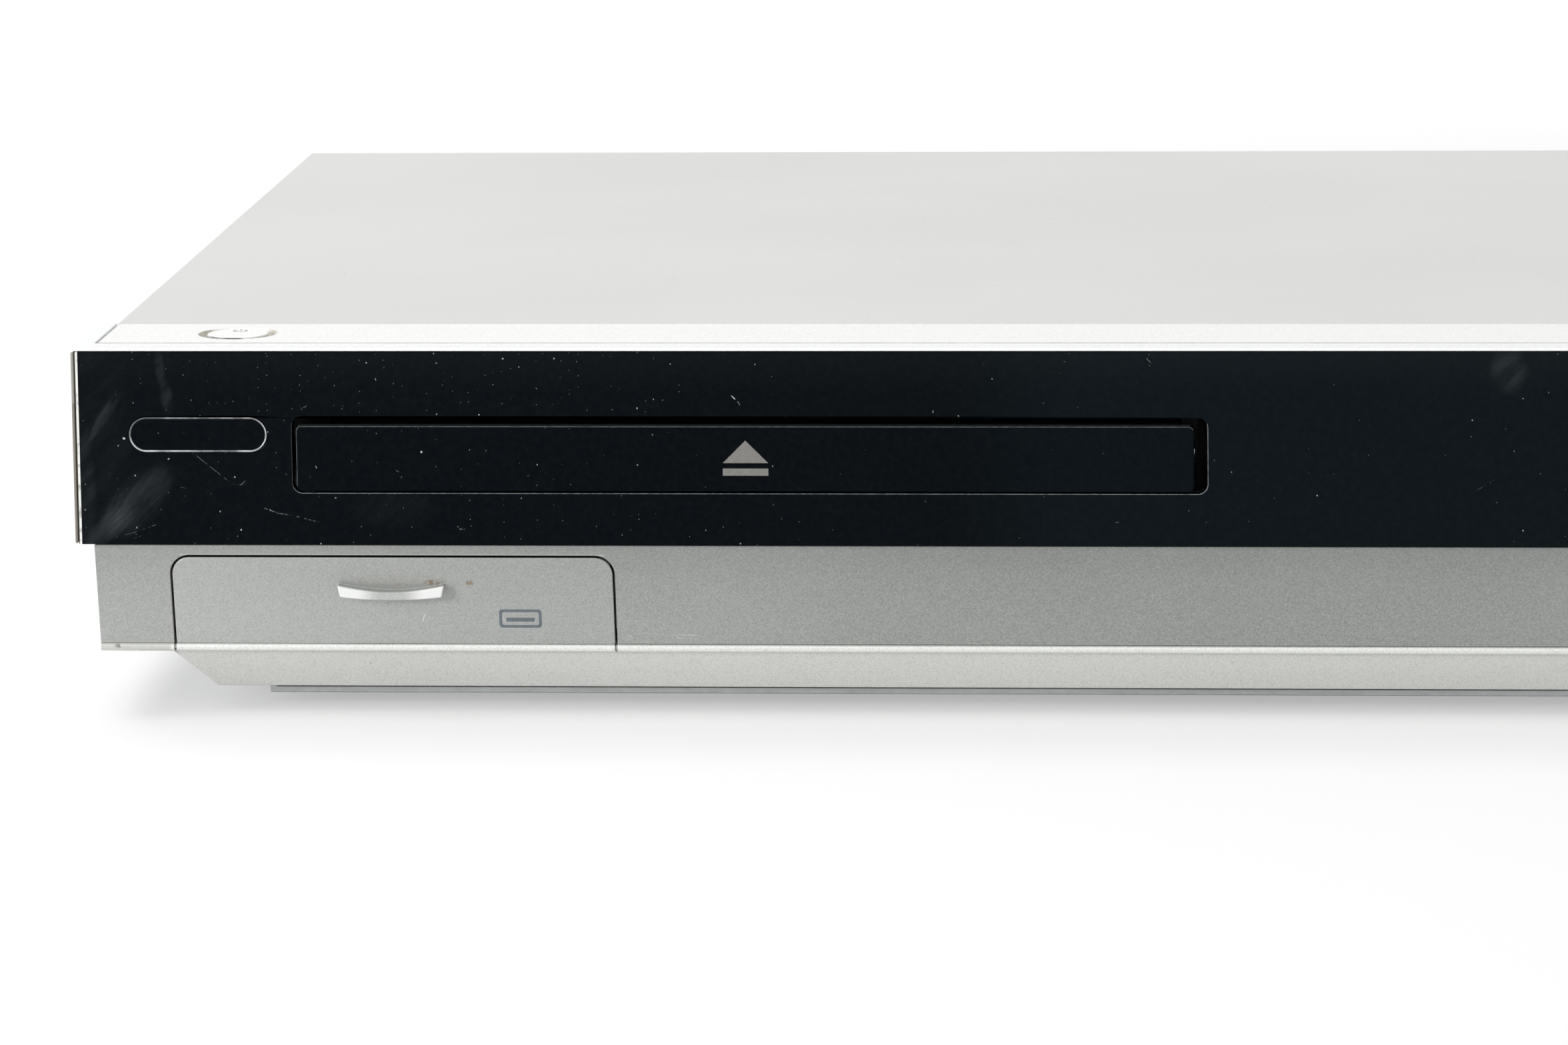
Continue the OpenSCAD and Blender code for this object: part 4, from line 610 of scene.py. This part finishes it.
def edge_tone(name, tone, rough):
    """A finish for edge faces, duller than the face and uneven in tone. Its tone is
    painted: highlights on edges, light on the tray door's top face, dark socket door edges.
    """
    edge = Finish(name)
    nick = edge.noise(1200, 3, 0.6).between(0.35, 0.6)
    return edge.surface(
        Base_Color=edge.mix(nick, toned(tone, 0.7), tone),
        Roughness=edge.rough(500, 0.2, rough),
        Specular_IOR_Level=0.3,
    )


def paint_faces(piece, finish, wanted):
    """Gives the faces for which wanted(centre in mm, normal) holds another finish."""
    piece.data.materials.append(finish)
    index = len(piece.data.materials) - 1
    for face in piece.data.polygons:
        if wanted(face.center * 1000, face.normal):
            face.material_index = index


OPENING_ENDS, OPENING_HEIGHTS = (-180.9, -40.2), (36.04, 47.74)
ROUNDING, ROUNDING_DEPTH = 0.5, -124.5


def opening_side(at, facing):
    """Which side of the tray opening's rounded front edge a face is on, or None."""
    (left, right), (low, high) = OPENING_ENDS, OPENING_HEIGHTS
    near_ends = left - ROUNDING < at.x < right + ROUNDING
    near_sides = low - ROUNDING < at.z < high + ROUNDING
    if not (near_ends and near_sides and at.y < ROUNDING_DEPTH and facing.y < -0.35):
        return None
    if facing.z > 0.3:
        return "foot"
    if abs(facing.x) > 0.3 and facing.z > -0.3:
        return "left" if facing.x > 0 else "right"
    return None


# Painted highlights on the tray opening's rounded edges: faint on the left, brighter below and
# right.
window_highlight = edge_tone("window_edge_highlight", (136, 140, 141), 0.2)
faint_highlight = edge_tone("faint_edge_highlight", (72, 76, 79), 0.3)
paint_faces(window, faint_highlight, lambda at, facing: opening_side(at, facing) == "left")
paint_faces(window, window_highlight, lambda at, facing: opening_side(at, facing) in ("foot", "right"))

# ---- Tray door ----
# The door on the tray's front end is moulded in the same black, a hair smaller
# than its opening, with a soft edge all round. The glint on that edge is a painted
# highlight, and its top face is painted lighter as light falling into the gap.

door_lint = (
    (0.07, 0.25, ((-165.0, 39.6), (-164.2, 39.2), (-163.8, 38.9), (-164.1, 38.4))),
    (0.05, 0.15, ((-122.9, 46.0), (-122.8, 45.5))),
    (0.08, 0.45, ((-177.3, 40.2), (-177.2, 39.9))),
    (0.08, 0.40, ((-125.2, 45.2), (-125.1, 45.0))),
)
door_gloss = dark_gloss("door_black", (2, 7, 12), (5, 13, 18), 0.09, door_lint, ())
tray_door = crisp("tray_door", "tray_door_cap", "tray", door_gloss, 0.0003, 3)
DOOR_FOOT = 37.0


def soft_edge(at, facing):
    """The rounding along the door's top and left end."""
    leans_in = -0.9 < facing.y < -0.5
    return at.z > DOOR_FOOT and leans_in and (facing.z > 0.3 or facing.x < -0.3)


# The rounding along the door's top and left end gets a painted highlight.
paint_faces(tray_door, edge_tone("door_edge_highlight", (88, 92, 94), 0.3), soft_edge)
# The door's top face, seen through the gap, is painted lighter as light falling in.
door_top_light = edge_tone("door_top_lit_face", (54, 57, 59), 0.5)
paint_faces(tray_door, door_top_light, lambda at, facing: facing.z > 0.95)


def printed(name, loops, finish, body, at):
    """A thin printed sign. Loops are outlines in mm, and at places a point."""
    half_thick, same_point = 0.012, 1e-7
    drawing = bpy.data.curves.new(name, "CURVE")
    drawing.dimensions = "2D"
    drawing.fill_mode = "BOTH"
    drawing.extrude = half_thick
    for loop in loops:
        spline = drawing.splines.new("POLY")
        spline.points.add(len(loop) - 1)
        for point, (x, y) in zip(spline.points, loop):
            point.co = (x, y, 0, 1)
        spline.use_cyclic_u = True
    sign = bpy.data.objects.new(name, drawing)
    scene.collection.objects.link(sign)
    only(sign)
    bpy.ops.object.convert(target="MESH")
    for vertex in sign.data.vertices:
        vertex.co = Vector(at(*vertex.co)) / 1000
    bpy.ops.object.mode_set(mode="EDIT")
    bpy.ops.mesh.select_all(action="SELECT")
    bpy.ops.mesh.remove_doubles(threshold=same_point)
    bpy.ops.mesh.normals_make_consistent(inside=False)
    bpy.ops.object.mode_set(mode="OBJECT")
    sign.data.materials.clear()
    sign.data.materials.append(finish)
    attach(sign, body)


def box_loop(x0, y0, x1, y1, corner=0.0):
    """A rectangle's outline, with rounded corners if they have a radius."""
    if not corner:
        return [(x0, y0), (x1, y0), (x1, y1), (x0, y1)]
    steps = 6
    loop = []
    for k, (x, y) in enumerate(((x1, y0), (x1, y1), (x0, y1), (x0, y0))):
        cx = x - corner if x == x1 else x + corner
        cy = y - corner if y == y1 else y + corner
        for i in range(steps + 1):
            turn = math.pi / 2 * (k - 1 + i / steps)
            loop.append((cx + corner * math.cos(turn), cy + corner * math.sin(turn)))
    return loop


def eject_loops(wide):
    """A triangle over a bar: open and close."""
    return [
        [(-wide / 2, -wide * 0.08), (wide / 2, -wide * 0.08), (0, wide * 0.42)],
        box_loop(-wide / 2, -wide * 0.36, wide / 2, -wide * 0.2),
    ]


def print_ink(name, tone):
    """Silk-screen ink, slightly thin and uneven."""
    ink = Finish(name)
    thin = ink.noise(1600, 3, 0.6).between(0.3, 0.7)
    return ink.surface(
        Base_Color=ink.mix(thin, toned(tone, 0.93), tone),
        Roughness=ink.rough(700, 0.2, 0.4),
    )


warm_ink = print_ink("warm_grey_ink", (127, 125, 121))
DOOR_FACE = -124.8
DOOR_SIGN_X, DOOR_SIGN_Z, DOOR_SIGN_WIDE = -110.9, 41.3, 7.0
printed(
    "tray_door_sign", eject_loops(DOOR_SIGN_WIDE), warm_ink, "tray",
    lambda x, y, z: (DOOR_SIGN_X + x, DOOR_FACE - z, DOOR_SIGN_Z + y),
)

# ---- Badge blank ----
# A small plain oval let into the window where a maker would put a name: a chromed
# rim round a sunken face of the same gloss black.

CHROME_RIM, SINK_SLOPE, SINK_DEPTH = 0.00018, 0.00008, 0.00012
chrome = Finish("badge_chrome")
chrome_rub = hairlines(chrome, (0, 0.3, 0), 120, 0.006, 0.5)
chrome_cloud = chrome.noise(260, 3).between(0.35, 0.65)
blank_chrome = chrome.surface(
    Base_Color=chrome.mix(chrome_cloud, (96, 98, 100), (190, 191, 192)),
    Metallic=1.0,
    Roughness=(chrome_rub * 0.2 + chrome.noise(500, 2) * 0.1 + 0.12).clamped(),
)


def sink_face(piece):
    """Leaves a chromed rim round the front face and sinks what lies inside it."""
    piece.data.materials.append(door_gloss)
    bpy.ops.object.mode_set(mode="EDIT")
    bpy.ops.mesh.select_mode(type="FACE")
    bpy.ops.mesh.select_all(action="DESELECT")
    bpy.ops.object.mode_set(mode="OBJECT")
    for face in piece.data.polygons:
        face.select = face.normal.y < -0.9
    bpy.ops.object.mode_set(mode="EDIT")
    bpy.ops.mesh.inset(thickness=CHROME_RIM)
    bpy.ops.mesh.inset(thickness=SINK_SLOPE, depth=-SINK_DEPTH)
    piece.active_material_index = 1
    bpy.ops.object.material_slot_assign()
    bpy.ops.mesh.select_mode(type="VERT")
    bpy.ops.object.mode_set(mode="OBJECT")


crisp(
    "badge_plate", "badge_blank", "root", blank_chrome, 0.00005,
    carve=sink_face,
)

# ---- Top plate and its buttons ----
# Behind the strip lies a plate of the same moulding with a dish round the power
# button and slots for three small keys, lacquered paler than the skirt: that paler
# tone of the plate and keys paints the strong light from above.

POWER_X, KEYS_Y = -191.6, -107.5
KEY_TOP, POWER_TOP = 58.2, 58.3
KEY_X = {"open": 123, "play": 145, "stop": 167}


def top_marks(coat, colour, across, deep, up):
    """Grime and painted shade in the dish round the power button, and dust along the front seam.
    """
    dx, dy = across - POWER_X, deep - KEYS_Y
    away = (dx * dx + dy * dy).math("SQRT")
    # The dish's ends and front are painted darker: grime together with painted shade in the
    # recess.
    dish = away.until(6.15, 6.3)
    patch = coat.noise(500, 3, 0.6).between(0.3, 0.65)
    ends = abs(dx).between(3.4, 5.4) * dish
    front = (dy < -3.0) * dish
    lint = coat.noise(160, 3, 0.6).between(0.4, 0.75)
    seam = deep.until(-118.4, -117.9)
    return coat.wash(
        colour,
        (ends * (patch * 0.35 + 0.4), (158, 150, 126)),
        (front * (patch * 0.4 + 0.2), (130, 124, 108)),
        (seam * (lint * 0.3 + 0.7), (96, 99, 100)),
    )


def power_marks(coat, colour, across, deep, up):
    """The shaded, grimy wall under the power button's rim."""
    dx = across - POWER_X
    wall = up.until(POWER_TOP - 0.06, POWER_TOP - 0.02)
    patch = coat.noise(400, 2).between(0.35, 0.6, 0.7, 1.0)
    side = dx.between(-4.2, -3.4, 0.4, 1.0) * dx.between(0.8, 2.0, 1.0, 0.2)
    return coat.mix(wall * side * patch * (deep < KEYS_Y), colour, (46, 40, 32))


# The plate's and keys' pale tones paint the strong light from above.
top_silver = silver_lacquer(
    "top_silver", (245, 245, 243), 0.4, marks=top_marks, shine=STRIP_SHINE
)
crisp("top_deck", "top_plate", "root", top_silver, 0.00015)
button_silver = silver_lacquer("button_silver", (247, 247, 245), 0.3, shine=STRIP_SHINE)
power_silver = silver_lacquer(
    "power_button_silver", (249, 249, 247), 0.2, marks=power_marks, shine=STRIP_SHINE
)
crisp("power_button", "power_key", "power_button", power_silver, 0.00006)
for key in KEY_X:
    crisp(
        f"{key}_button", f"{key}_key", f"{key}_button", button_silver,
        0.0002, 3,
    )

cool_ink = print_ink("cool_grey_ink", (126, 132, 136))
HALF_SIGN = 1.1
key_signs = {
    "open": eject_loops(3.0),
    "play": [
        [(-2.1, -HALF_SIGN), (-0.2, 0), (-2.1, HALF_SIGN)],
        box_loop(0.7, -HALF_SIGN, 1.2, HALF_SIGN),
        box_loop(1.7, -HALF_SIGN, 2.2, HALF_SIGN),
    ],
    "stop": [box_loop(-HALF_SIGN, -HALF_SIGN, HALF_SIGN, HALF_SIGN)],
}
for key, loops in key_signs.items():
    printed(
        f"{key}_sign", loops, cool_ink, f"{key}_button",
        lambda x, y, z, key_x=KEY_X[key]: (key_x + x, KEYS_Y + y, KEY_TOP + z),
    )


def arc(radius, start, end):
    """An arc's points from one angle to the other, in degrees."""
    steps = 30
    turns = [math.radians(start + (end - start) * i / steps) for i in range(steps + 1)]
    return [(radius * math.cos(t), radius * math.sin(t)) for t in turns]


# The power sign is a ring, open at its top, with a bar in the gap. It stands in the
# rear half of the button.
RING_OUTER, RING_INNER = 1.15, 0.85
GAP_LEFT, GAP_RIGHT = 120, 420
POWER_SIGN_BACK = 2.7
power_loops = [
    arc(RING_OUTER, GAP_LEFT, GAP_RIGHT) + arc(RING_INNER, GAP_RIGHT, GAP_LEFT),
    box_loop(-0.14, 0.3, 0.14, 1.4),
]
printed(
    "power_sign", power_loops, cool_ink, "power_button",
    lambda x, y, z: (POWER_X + x, KEYS_Y + POWER_SIGN_BACK + y, POWER_TOP + z),
)

# ---- Socket door ----
# The door over the memory-stick socket is moulded and lacquered like the skirt,
# turns on two stub pins in the lip, and has a ledge for a fingertip.

SKIRT_TOP, SKIRT_SET, SKIRT_SLOPE = 27.8, -124.4, 0.2272
TAB_X, TAB_FOOT = -166.15, 17.0
FLAP_ENDS, FLAP_TOP = (-199.8, -132.3), 25.7
# The flap's tones paint light like the skirt's: paler foot, darker to the right as light falls
# off.
FLAP_FOOT_LIT = (217, 218, 214)
FLAP_LIT_LEFT, FLAP_SHADED_RIGHT = (172, 174, 171), (144, 147, 143)
SOCKET_SIGN_X, SOCKET_SIGN_Z = -146.4, 15.85
# Each stain is (x, z, wide, tall, strength). The strong ones by the tab's right end
# are stains; the faint, wide ones over its middle are grime with painted shade above the ledge.
FLAP_STAINS = (
    (-154.0, 21.7, 0.8, 0.55, 0.9),
    (-159.8, 21.75, 1.9, 0.5, 0.8),
    (-159.0, 21.45, 1.6, 0.35, 0.8),
    (-166.5, 21.3, 6.0, 0.45, 0.14),
    (-172.0, 21.7, 2.0, 0.4, 0.12),
    (-167.0, 22.2, 8.0, 1.3, 0.08),
)


def flap_marks(coat, colour, across, deep, up):
    """Brown stains and painted shade by the ledge, painted shade on the door, one light
    scratch and a painted highlight along the ledge's edge.
    """
    blot = coat.noise(900, 3, 0.6).between(0.35, 0.6)
    stains = [
        (smear(across, up, x, z, wide, tall, 0) * blot * strength, (136, 108, 62))
        for x, z, wide, tall, strength in FLAP_STAINS
    ]
    # Painted shade on the door under the window's overhang, darker towards the top.
    flap_shade = up.between(11.5, 27.0)
    scratch = stroke(across, up, ((-161.3, 16.5), (-161.6, 15.4)), 0.09)
    # A painted highlight along the ledge's edge, strongest towards its ends.
    ledge = (deep + SKIRT_SLOPE * up).until(-119.2, -118.95) * (up > TAB_FOOT)
    ends = abs(across - TAB_X).between(1.5, 5.5, 0.15, 0.95)
    return coat.wash(
        colour,
        *stains,
        (flap_shade * 0.13, (64, 68, 70)),
        (scratch * 0.8, (226, 224, 216)),
        (ledge * ends * 0.85, (246, 247, 246)),
    )


flap_bands = ((LIP_FOOT, LIP_HIGHLIGHT_TONE, None), (SKIRT_FOOT, FLAP_LIT_LEFT, FLAP_SHADED_RIGHT))
flap_silver = silver_lacquer("flap_silver", FLAP_FOOT_LIT, 1.0, flap_bands, flap_marks)
flap = crisp("usb_door", "socket_door", "usb_door", flap_silver, 0.00022, 3)


def in_gap(at, facing):
    """The door's edges, which face the sides of its opening."""
    if abs(facing.y) >= 0.5:
        return False
    above, beside = at.z > FLAP_TOP, at.x < FLAP_ENDS[0] or at.x > FLAP_ENDS[1]
    return above or (beside and abs(facing.x) > 0.8)


# The door's edges that face its opening are painted dark.
paint_faces(flap, edge_tone("gap_edges_dark", (34, 32, 29), 0.6), in_gap)
slate_ink = print_ink("slate_ink", (104, 113, 119))


def on_skirt(x, y, z):
    """A point at this height on the leaning skirt, and z proud of it."""
    height = SOCKET_SIGN_Z + y
    deep = SKIRT_SET + (SKIRT_TOP - height) * SKIRT_SLOPE - z
    return (SOCKET_SIGN_X + x, deep, height)


socket_loops = [
    box_loop(-3.3, -1.5, 3.3, 1.5, 0.5),
    box_loop(-2.85, -1.05, 2.85, 1.05, 0.3),
    box_loop(-2.2, -0.5, 2.2, 0.15),
]
printed("socket_sign", socket_loops, slate_ink, "usb_door", on_skirt)

# ---- Cover ----
# One folded sheet of steel makes the top and both sides. It is powder-coated in
# a pale silver, slotted over the transformer, and screwed on at the sides and rear.


def painted_sheet(name, tone, grain):
    """Powder coat on steel: a fine pebbled skin with a few rubbed spots."""
    paint = Finish(name)
    pebble = paint.noise(2400, 2, 0.6)
    cloud = paint.noise(14, 3).between(0.3, 0.7)
    worn = hairlines(paint, (0.3, 0.1, 0.9), 40, 0.004, 0.3)
    dust = specks(paint, 0.0045, 0.0003, 0.3)
    return paint.surface(
        Base_Color=paint.wash(
            paint.mix(cloud, toned(tone, 0.985), toned(tone, 1.005)),
            (worn * 0.25, (244, 244, 242)),
            (dust * 0.35, (120, 116, 108)),
        ),
        Metallic=0.15,
        Roughness=(pebble * 0.25 + 0.3).clamped(),
        Specular_IOR_Level=0.5,
        Normal=paint.bump(pebble, grain, 0.00012),
    )


cover_paint = painted_sheet("cover_paint", (212, 212, 210), 0.25)
crisp("top_cover", "steel_cover", "root", cover_paint, 0.00022)

# ---- Chassis and rear panel ----
# The tub and the rear panel are pressed from zinc-plated sheet, so they show its
# faint spangle and the lines of the rolling mill.


def dress(finish, *nodes):
    """Gives solids that are shown as they are their finish."""
    for node in nodes:
        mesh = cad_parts[node].data
        mesh.materials.clear()
        mesh.materials.append(finish)


def zinc_sheet(name, tone, mill):
    """Zinc-plated steel, with a fine spangle and rolling lines along one axis."""
    plate = Finish(name)
    spangle = plate.cells(900, out=1).parts()[0]
    lines = plate.noise(160, 3, 0.6, at=plate.place(scale=mill))
    cloud = plate.noise(18, 3)
    shade = (spangle * 0.12 + lines * 0.5 + cloud * 0.38).between(0.3, 0.7)
    ground = plate.mix(shade, toned(tone, 0.94), toned(tone, 1.03))
    stain = plate.noise(30, 4).between(0.66, 0.85)
    return plate.surface(
        Base_Color=plate.mix(stain * 0.2, ground, (150, 146, 138)),
        Metallic=0.85,
        Roughness=(lines * 0.16 + spangle * 0.05 + 0.3).clamped(),
        Normal=plate.bump(lines, 0.05, 0.0001),
    )


mill_finish = zinc_sheet("zinc_sheet", (178, 180, 181), (1, 14, 14))
crisp("bottom_chassis", "chassis_tub", "root", mill_finish, 0.00015)
crisp("rear_panel", "rear_plate", "root", mill_finish, 0.00012)
dress(mill_finish, "clamp_bridge", "deck_plate", "spindle_motor")

# ---- Feet and screws ----
# Four turned feet of soft rubber are pressed into the tub. Zinc-plated screws with
# crossed slots hold the cover, the boards and the loader. The rods, the standoffs
# and the sockets' shells are bright metal too.

rubber = Finish("foot_rubber")
bloom = rubber.noise(180, 4)
foot_rubber = rubber.surface(
    Base_Color=rubber.mix(bloom.between(0.35, 0.75), (38, 38, 39), (60, 59, 57)),
    Roughness=(bloom * 0.2 + 0.65).clamped(),
    Normal=rubber.bump(rubber.noise(1500, 2), 0.2, 0.0002),
)
crisp("feet", "rubber_feet", "root", foot_rubber, 0.0006, 3)


def bare_metal(name, tone, scale, rough):
    """Plated or turned metal with fine tool marks and a little tarnish."""
    metal = Finish(name)
    marks = metal.noise(scale, 3, 0.6, at=metal.place(scale=(1, 1, 6)))
    tarnish = metal.noise(scale * 0.12, 3).between(0.5, 0.8)
    ground = metal.mix(marks.between(0.3, 0.7), toned(tone, 0.88), toned(tone, 1.05))
    return metal.surface(
        Base_Color=metal.mix(tarnish * 0.2, ground, (116, 108, 96)),
        Metallic=1.0,
        Roughness=(marks * 0.2 + tarnish * 0.1 + rough).clamped(),
        Normal=metal.bump(marks, 0.05, 0.00005),
    )


plated_screw = bare_metal("plated_screw", (176, 178, 180), 700, 0.22)
crisp("cover_screws", "cover_screw_heads", "root", plated_screw, 0.0001)
dress(plated_screw, "board_screws", "loader_screws", "loading_motor", "feed_motor")
nickel = bare_metal("nickel_plate", (205, 203, 196), 500, 0.14)
dress(nickel, "usb_socket", "standoffs")
dress(bare_metal("ground_rod", (200, 201, 202), 60, 0.12), "guide_rods")
crisp("hdmi_socket", "digital_video_socket", "root", nickel, 0.0001)

# ---- Circuit boards ----
# The signal boards are green laminate with tinned pads and printed copper under
# the mask. The power board is tan phenolic paper with brown tracks.


def laminate(name, mask, copper, pad, pad_share):
    """A circuit board: mask over copper tracks, and tinned pads."""
    board = Finish(name)
    fine = board.node(
        "TexBrick",
        {"offset": 0.37, "squash": 0.6, "squash_frequency": 3},
        {
            "Vector": board.place(),
            "Scale": 190.0,
            "Mortar Size": 0.02,
            "Brick Width": 0.9,
            "Row Height": 0.22,
        },
        out=1,
    )
    tracks = fine * board.noise(35, 1, 0.3).between(0.48, 0.52)
    pads = specks(board, 0.003, 0.0008, pad_share)
    ground = board.mix(board.noise(60, 3).between(0.3, 0.7), mask, toned(mask, 1.12))
    return board.surface(
        Base_Color=board.wash(ground, (tracks * 0.7, copper), (pads, pad)),
        Metallic=pads * 0.7,
        Roughness=(0.34 - pads * 0.1 + board.noise(400, 2) * 0.1).clamped(),
        Normal=board.bump(tracks + pads, 0.25, 0.0001),
    )


green_board = laminate("green_laminate", (18, 84, 46), (44, 128, 66), (196, 196, 190), 0.24)
dress(green_board, "front_board", "switch_boards", "usb_board", "main_board")
paper_board = laminate("phenolic_paper", (170, 122, 72), (150, 104, 58), (190, 188, 180), 0.16)
dress(paper_board, "power_board")

# ---- Moulded black parts ----
# The loader frame, the tray, the jacks' housings and the chips are all moulded
# in black, with the grain that the mould's eroded face leaves on them.


def moulded(name, tone, grain, rough, scale=1500):
    """Moulded plastic with the mould's fine grain and faint flow marks."""
    plastic = Finish(name)
    grit = plastic.noise(scale, 2, 0.6)
    flow = plastic.noise(40, 3, 0.5, warp=1.0).between(0.3, 0.7)
    ground = plastic.mix(flow, toned(tone, 0.94), toned(tone, 1.06))
    dust = specks(plastic, 0.002, 0.00015, 0.12)
    return plastic.surface(
        Base_Color=plastic.mix(dust * 0.25, ground, (150, 146, 138)),
        Roughness=(grit * 0.18 + rough).clamped(),
        Normal=plastic.bump(grit, grain, 0.0001),
    )


black_mould = moulded("black_mould", (30, 30, 32), 0.3, 0.42)
dress(
    black_mould, "ir_receiver", "tact_switches", "decoder_chip", "optical_socket",
    "loader_frame", "turntable", "lens_holder",
)
jack_blocks = {
    kind: crisp(
        f"{kind}_jacks", f"{kind}_jack_block", "root", black_mould, 0.00012
    )
    for kind in ("audio", "video")
}
crisp("mains_inlet", "mains_inlet_body", "root", black_mould, 0.00025)

# Every jack has a nickel-plated sleeve round an insulator in its channel's colour.
PANEL_REAR = 117
SLEEVE_START, INSULATOR_START = PANEL_REAR + 0.1, PANEL_REAR + 2
SLEEVE_RADIUS, INSULATOR_RADIUS = 4.4, 3.3
JACK_PITCH = 14
BOARD_TOP = 11.5
# The left end of each block, and its jacks' colours from the lowest row up
JACK_COLOURS = {
    "audio": (-24, (("red", "red", "blue"), ("white", "white", "yellow"))),
    "video": (24, (("green", "blue", "red"),)),
}
insulators = {
    colour: moulded(f"{colour}_insulator", tone, 0.1, 0.35)
    for colour, tone in (
        ("white", (224, 224, 220)), ("red", (178, 34, 34)), ("green", (44, 138, 72)),
        ("blue", (40, 76, 160)), ("yellow", (226, 184, 40)),
    )
}


def trim_jack(block, x, z, colour):
    """Plates the sleeve of one jack and colours the insulator inside it."""

    def away(at):
        return math.hypot(at.x - x, at.z - z)

    def on_sleeve(at, facing):
        return at.y > SLEEVE_START and INSULATOR_RADIUS < away(at) < SLEEVE_RADIUS

    def on_insulator(at, facing):
        return at.y > INSULATOR_START and away(at) < INSULATOR_RADIUS

    paint_faces(block, nickel, on_sleeve)
    paint_faces(block, insulators[colour], on_insulator)


for kind, (left, rows) in JACK_COLOURS.items():
    for row, colours in enumerate(rows):
        for column, colour in enumerate(colours):
            x = left + JACK_PITCH * (column + 0.5)
            trim_jack(jack_blocks[kind], x, BOARD_TOP + JACK_PITCH * (row + 0.5), colour)

tray_mould = moulded("tray_mould", (34, 35, 38), 0.35, 0.38, 1800)
crisp("tray", "disc_tray", "tray", tray_mould, 0.0002)

# ---- Loader's gears and moving parts ----
# The gears and the cam slider are natural acetal, the clamping disc and the pulley
# gear white, and the two smallest wheels are turned from brass.

dress(
    moulded("natural_acetal", (222, 216, 198), 0.1, 0.36), "drive_gear", "feed_gear", "cam_slider"
)
dress(moulded("white_acetal", (226, 226, 222), 0.1, 0.38), "pulley_gear", "clamper")
dress(bare_metal("turned_brass", (206, 168, 92), 900, 0.2), "motor_pulley", "feed_pinion")
dress(bare_metal("die_cast_sled", (128, 129, 131), 800, 0.4), "pickup_sled")
dress(moulded("belt_rubber", (32, 32, 32), 0.2, 0.6), "drive_belt")

# ---- Lens ----
# A small glass lens is pressed into the top of its black holder. Its coating looks
# blue from above and violet from the side.

LENS_DOME = 0.85
lens = Finish("coated_lens")
around = lens.node("LayerWeight", {}, {"Blend": 0.4}, out=1)
lens_coat = lens.surface(
    Base_Color=lens.mix(around, (34, 58, 96), (92, 70, 120)),
    Roughness=lens.rough(900, 0.08, 0.08),
    Coat_Weight=0.6,
    Coat_Roughness=0.05,
)
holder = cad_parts["lens_holder"]
lens_top = max(corner[2] for corner in holder.bound_box) * 1000
paint_faces(holder, lens_coat, lambda at, facing: at.z > lens_top - LENS_DOME)

# ---- Power supply and chip ----
# A wound transformer, sleeved capacitors and a finned aluminium heatsink stand on
# the power board. The decoder chip has tinned legs and carries fins of its own.

COIL_HALF_X, COIL_HALF_Y = 10.3, 12.6
CHIP_HALF = 14.05


def middle(node):
    """The centre of a solid's box in mm."""
    corners = [Vector(corner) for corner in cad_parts[node].bound_box]
    return (corners[0] + corners[6]) * 500


coil, chip = middle("transformer"), middle("decoder_chip")


def on_winding(at, facing):
    """The taped sides of the transformer's coil."""
    inside = abs(at.x - coil.x) < COIL_HALF_X and abs(at.y - coil.y) < COIL_HALF_Y
    return inside and abs(facing.z) < 0.5


def on_legs(at, facing):
    """What stands out beyond the chip's black body."""
    return max(abs(at.x - chip.x), abs(at.y - chip.y)) > CHIP_HALF


dress(moulded("ferrite_core", (44, 43, 44), 0.4, 0.6, 900), "transformer")
tape = moulded("winding_tape", (214, 176, 62), 0.1, 0.3)
paint_faces(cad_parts["transformer"], tape, on_winding)
sleeve = Finish("capacitor_sleeve")
stripe = sleeve.noise(70, 1).between(0.5, 0.52)
blue_sleeve = sleeve.surface(
    Base_Color=sleeve.mix(stripe, (24, 30, 58), (30, 38, 70)),
    Roughness=sleeve.rough(600, 0.1, 0.25),
)
dress(blue_sleeve, "capacitors")
can_top = bare_metal("can_top", (190, 192, 194), 500, 0.3)
paint_faces(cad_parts["capacitors"], can_top, lambda at, facing: facing.z > 0.9)
paint_faces(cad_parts["decoder_chip"], nickel, on_legs)
fins = bare_metal("anodised_fins", (168, 170, 173), 600, 0.34)
dress(fins, "decoder_heatsink", "power_heatsink")

# ---- Display and cables ----
# The display is a dark glass tube with a grey grid inside. The ribbons and the
# harness are white, with the conductors showing through.

TUBE_UPRIGHT = (1.5708, 0, 0)
tube = Finish("display_tube")
grid = tube.node(
    "TexBrick",
    {"offset": 0.0},
    {
        "Vector": tube.place(turn=TUBE_UPRIGHT),
        "Scale": 220.0,
        "Mortar Size": 0.06,
        "Brick Width": 0.5,
        "Row Height": 0.8,
    },
    out=1,
)
dark_tube = tube.surface(
    Base_Color=tube.mix(grid * 0.5, (26, 38, 38), (84, 96, 94)),
    Roughness=tube.rough(300, 0.08, 0.08),
)
dress(dark_tube, "display_module")

flat_cable = Finish("flat_cable")
conductors = flat_cable.place(scale=(1000, 1, 1)).parts()[0].math("FRACT").between(0.2, 0.45)
cable_white = flat_cable.surface(
    Base_Color=flat_cable.mix(conductors * 0.5, (226, 226, 220), (176, 178, 180)),
    Roughness=flat_cable.rough(300, 0.1, 0.4),
)
dress(cable_white, "ribbon_cables", "power_harness")
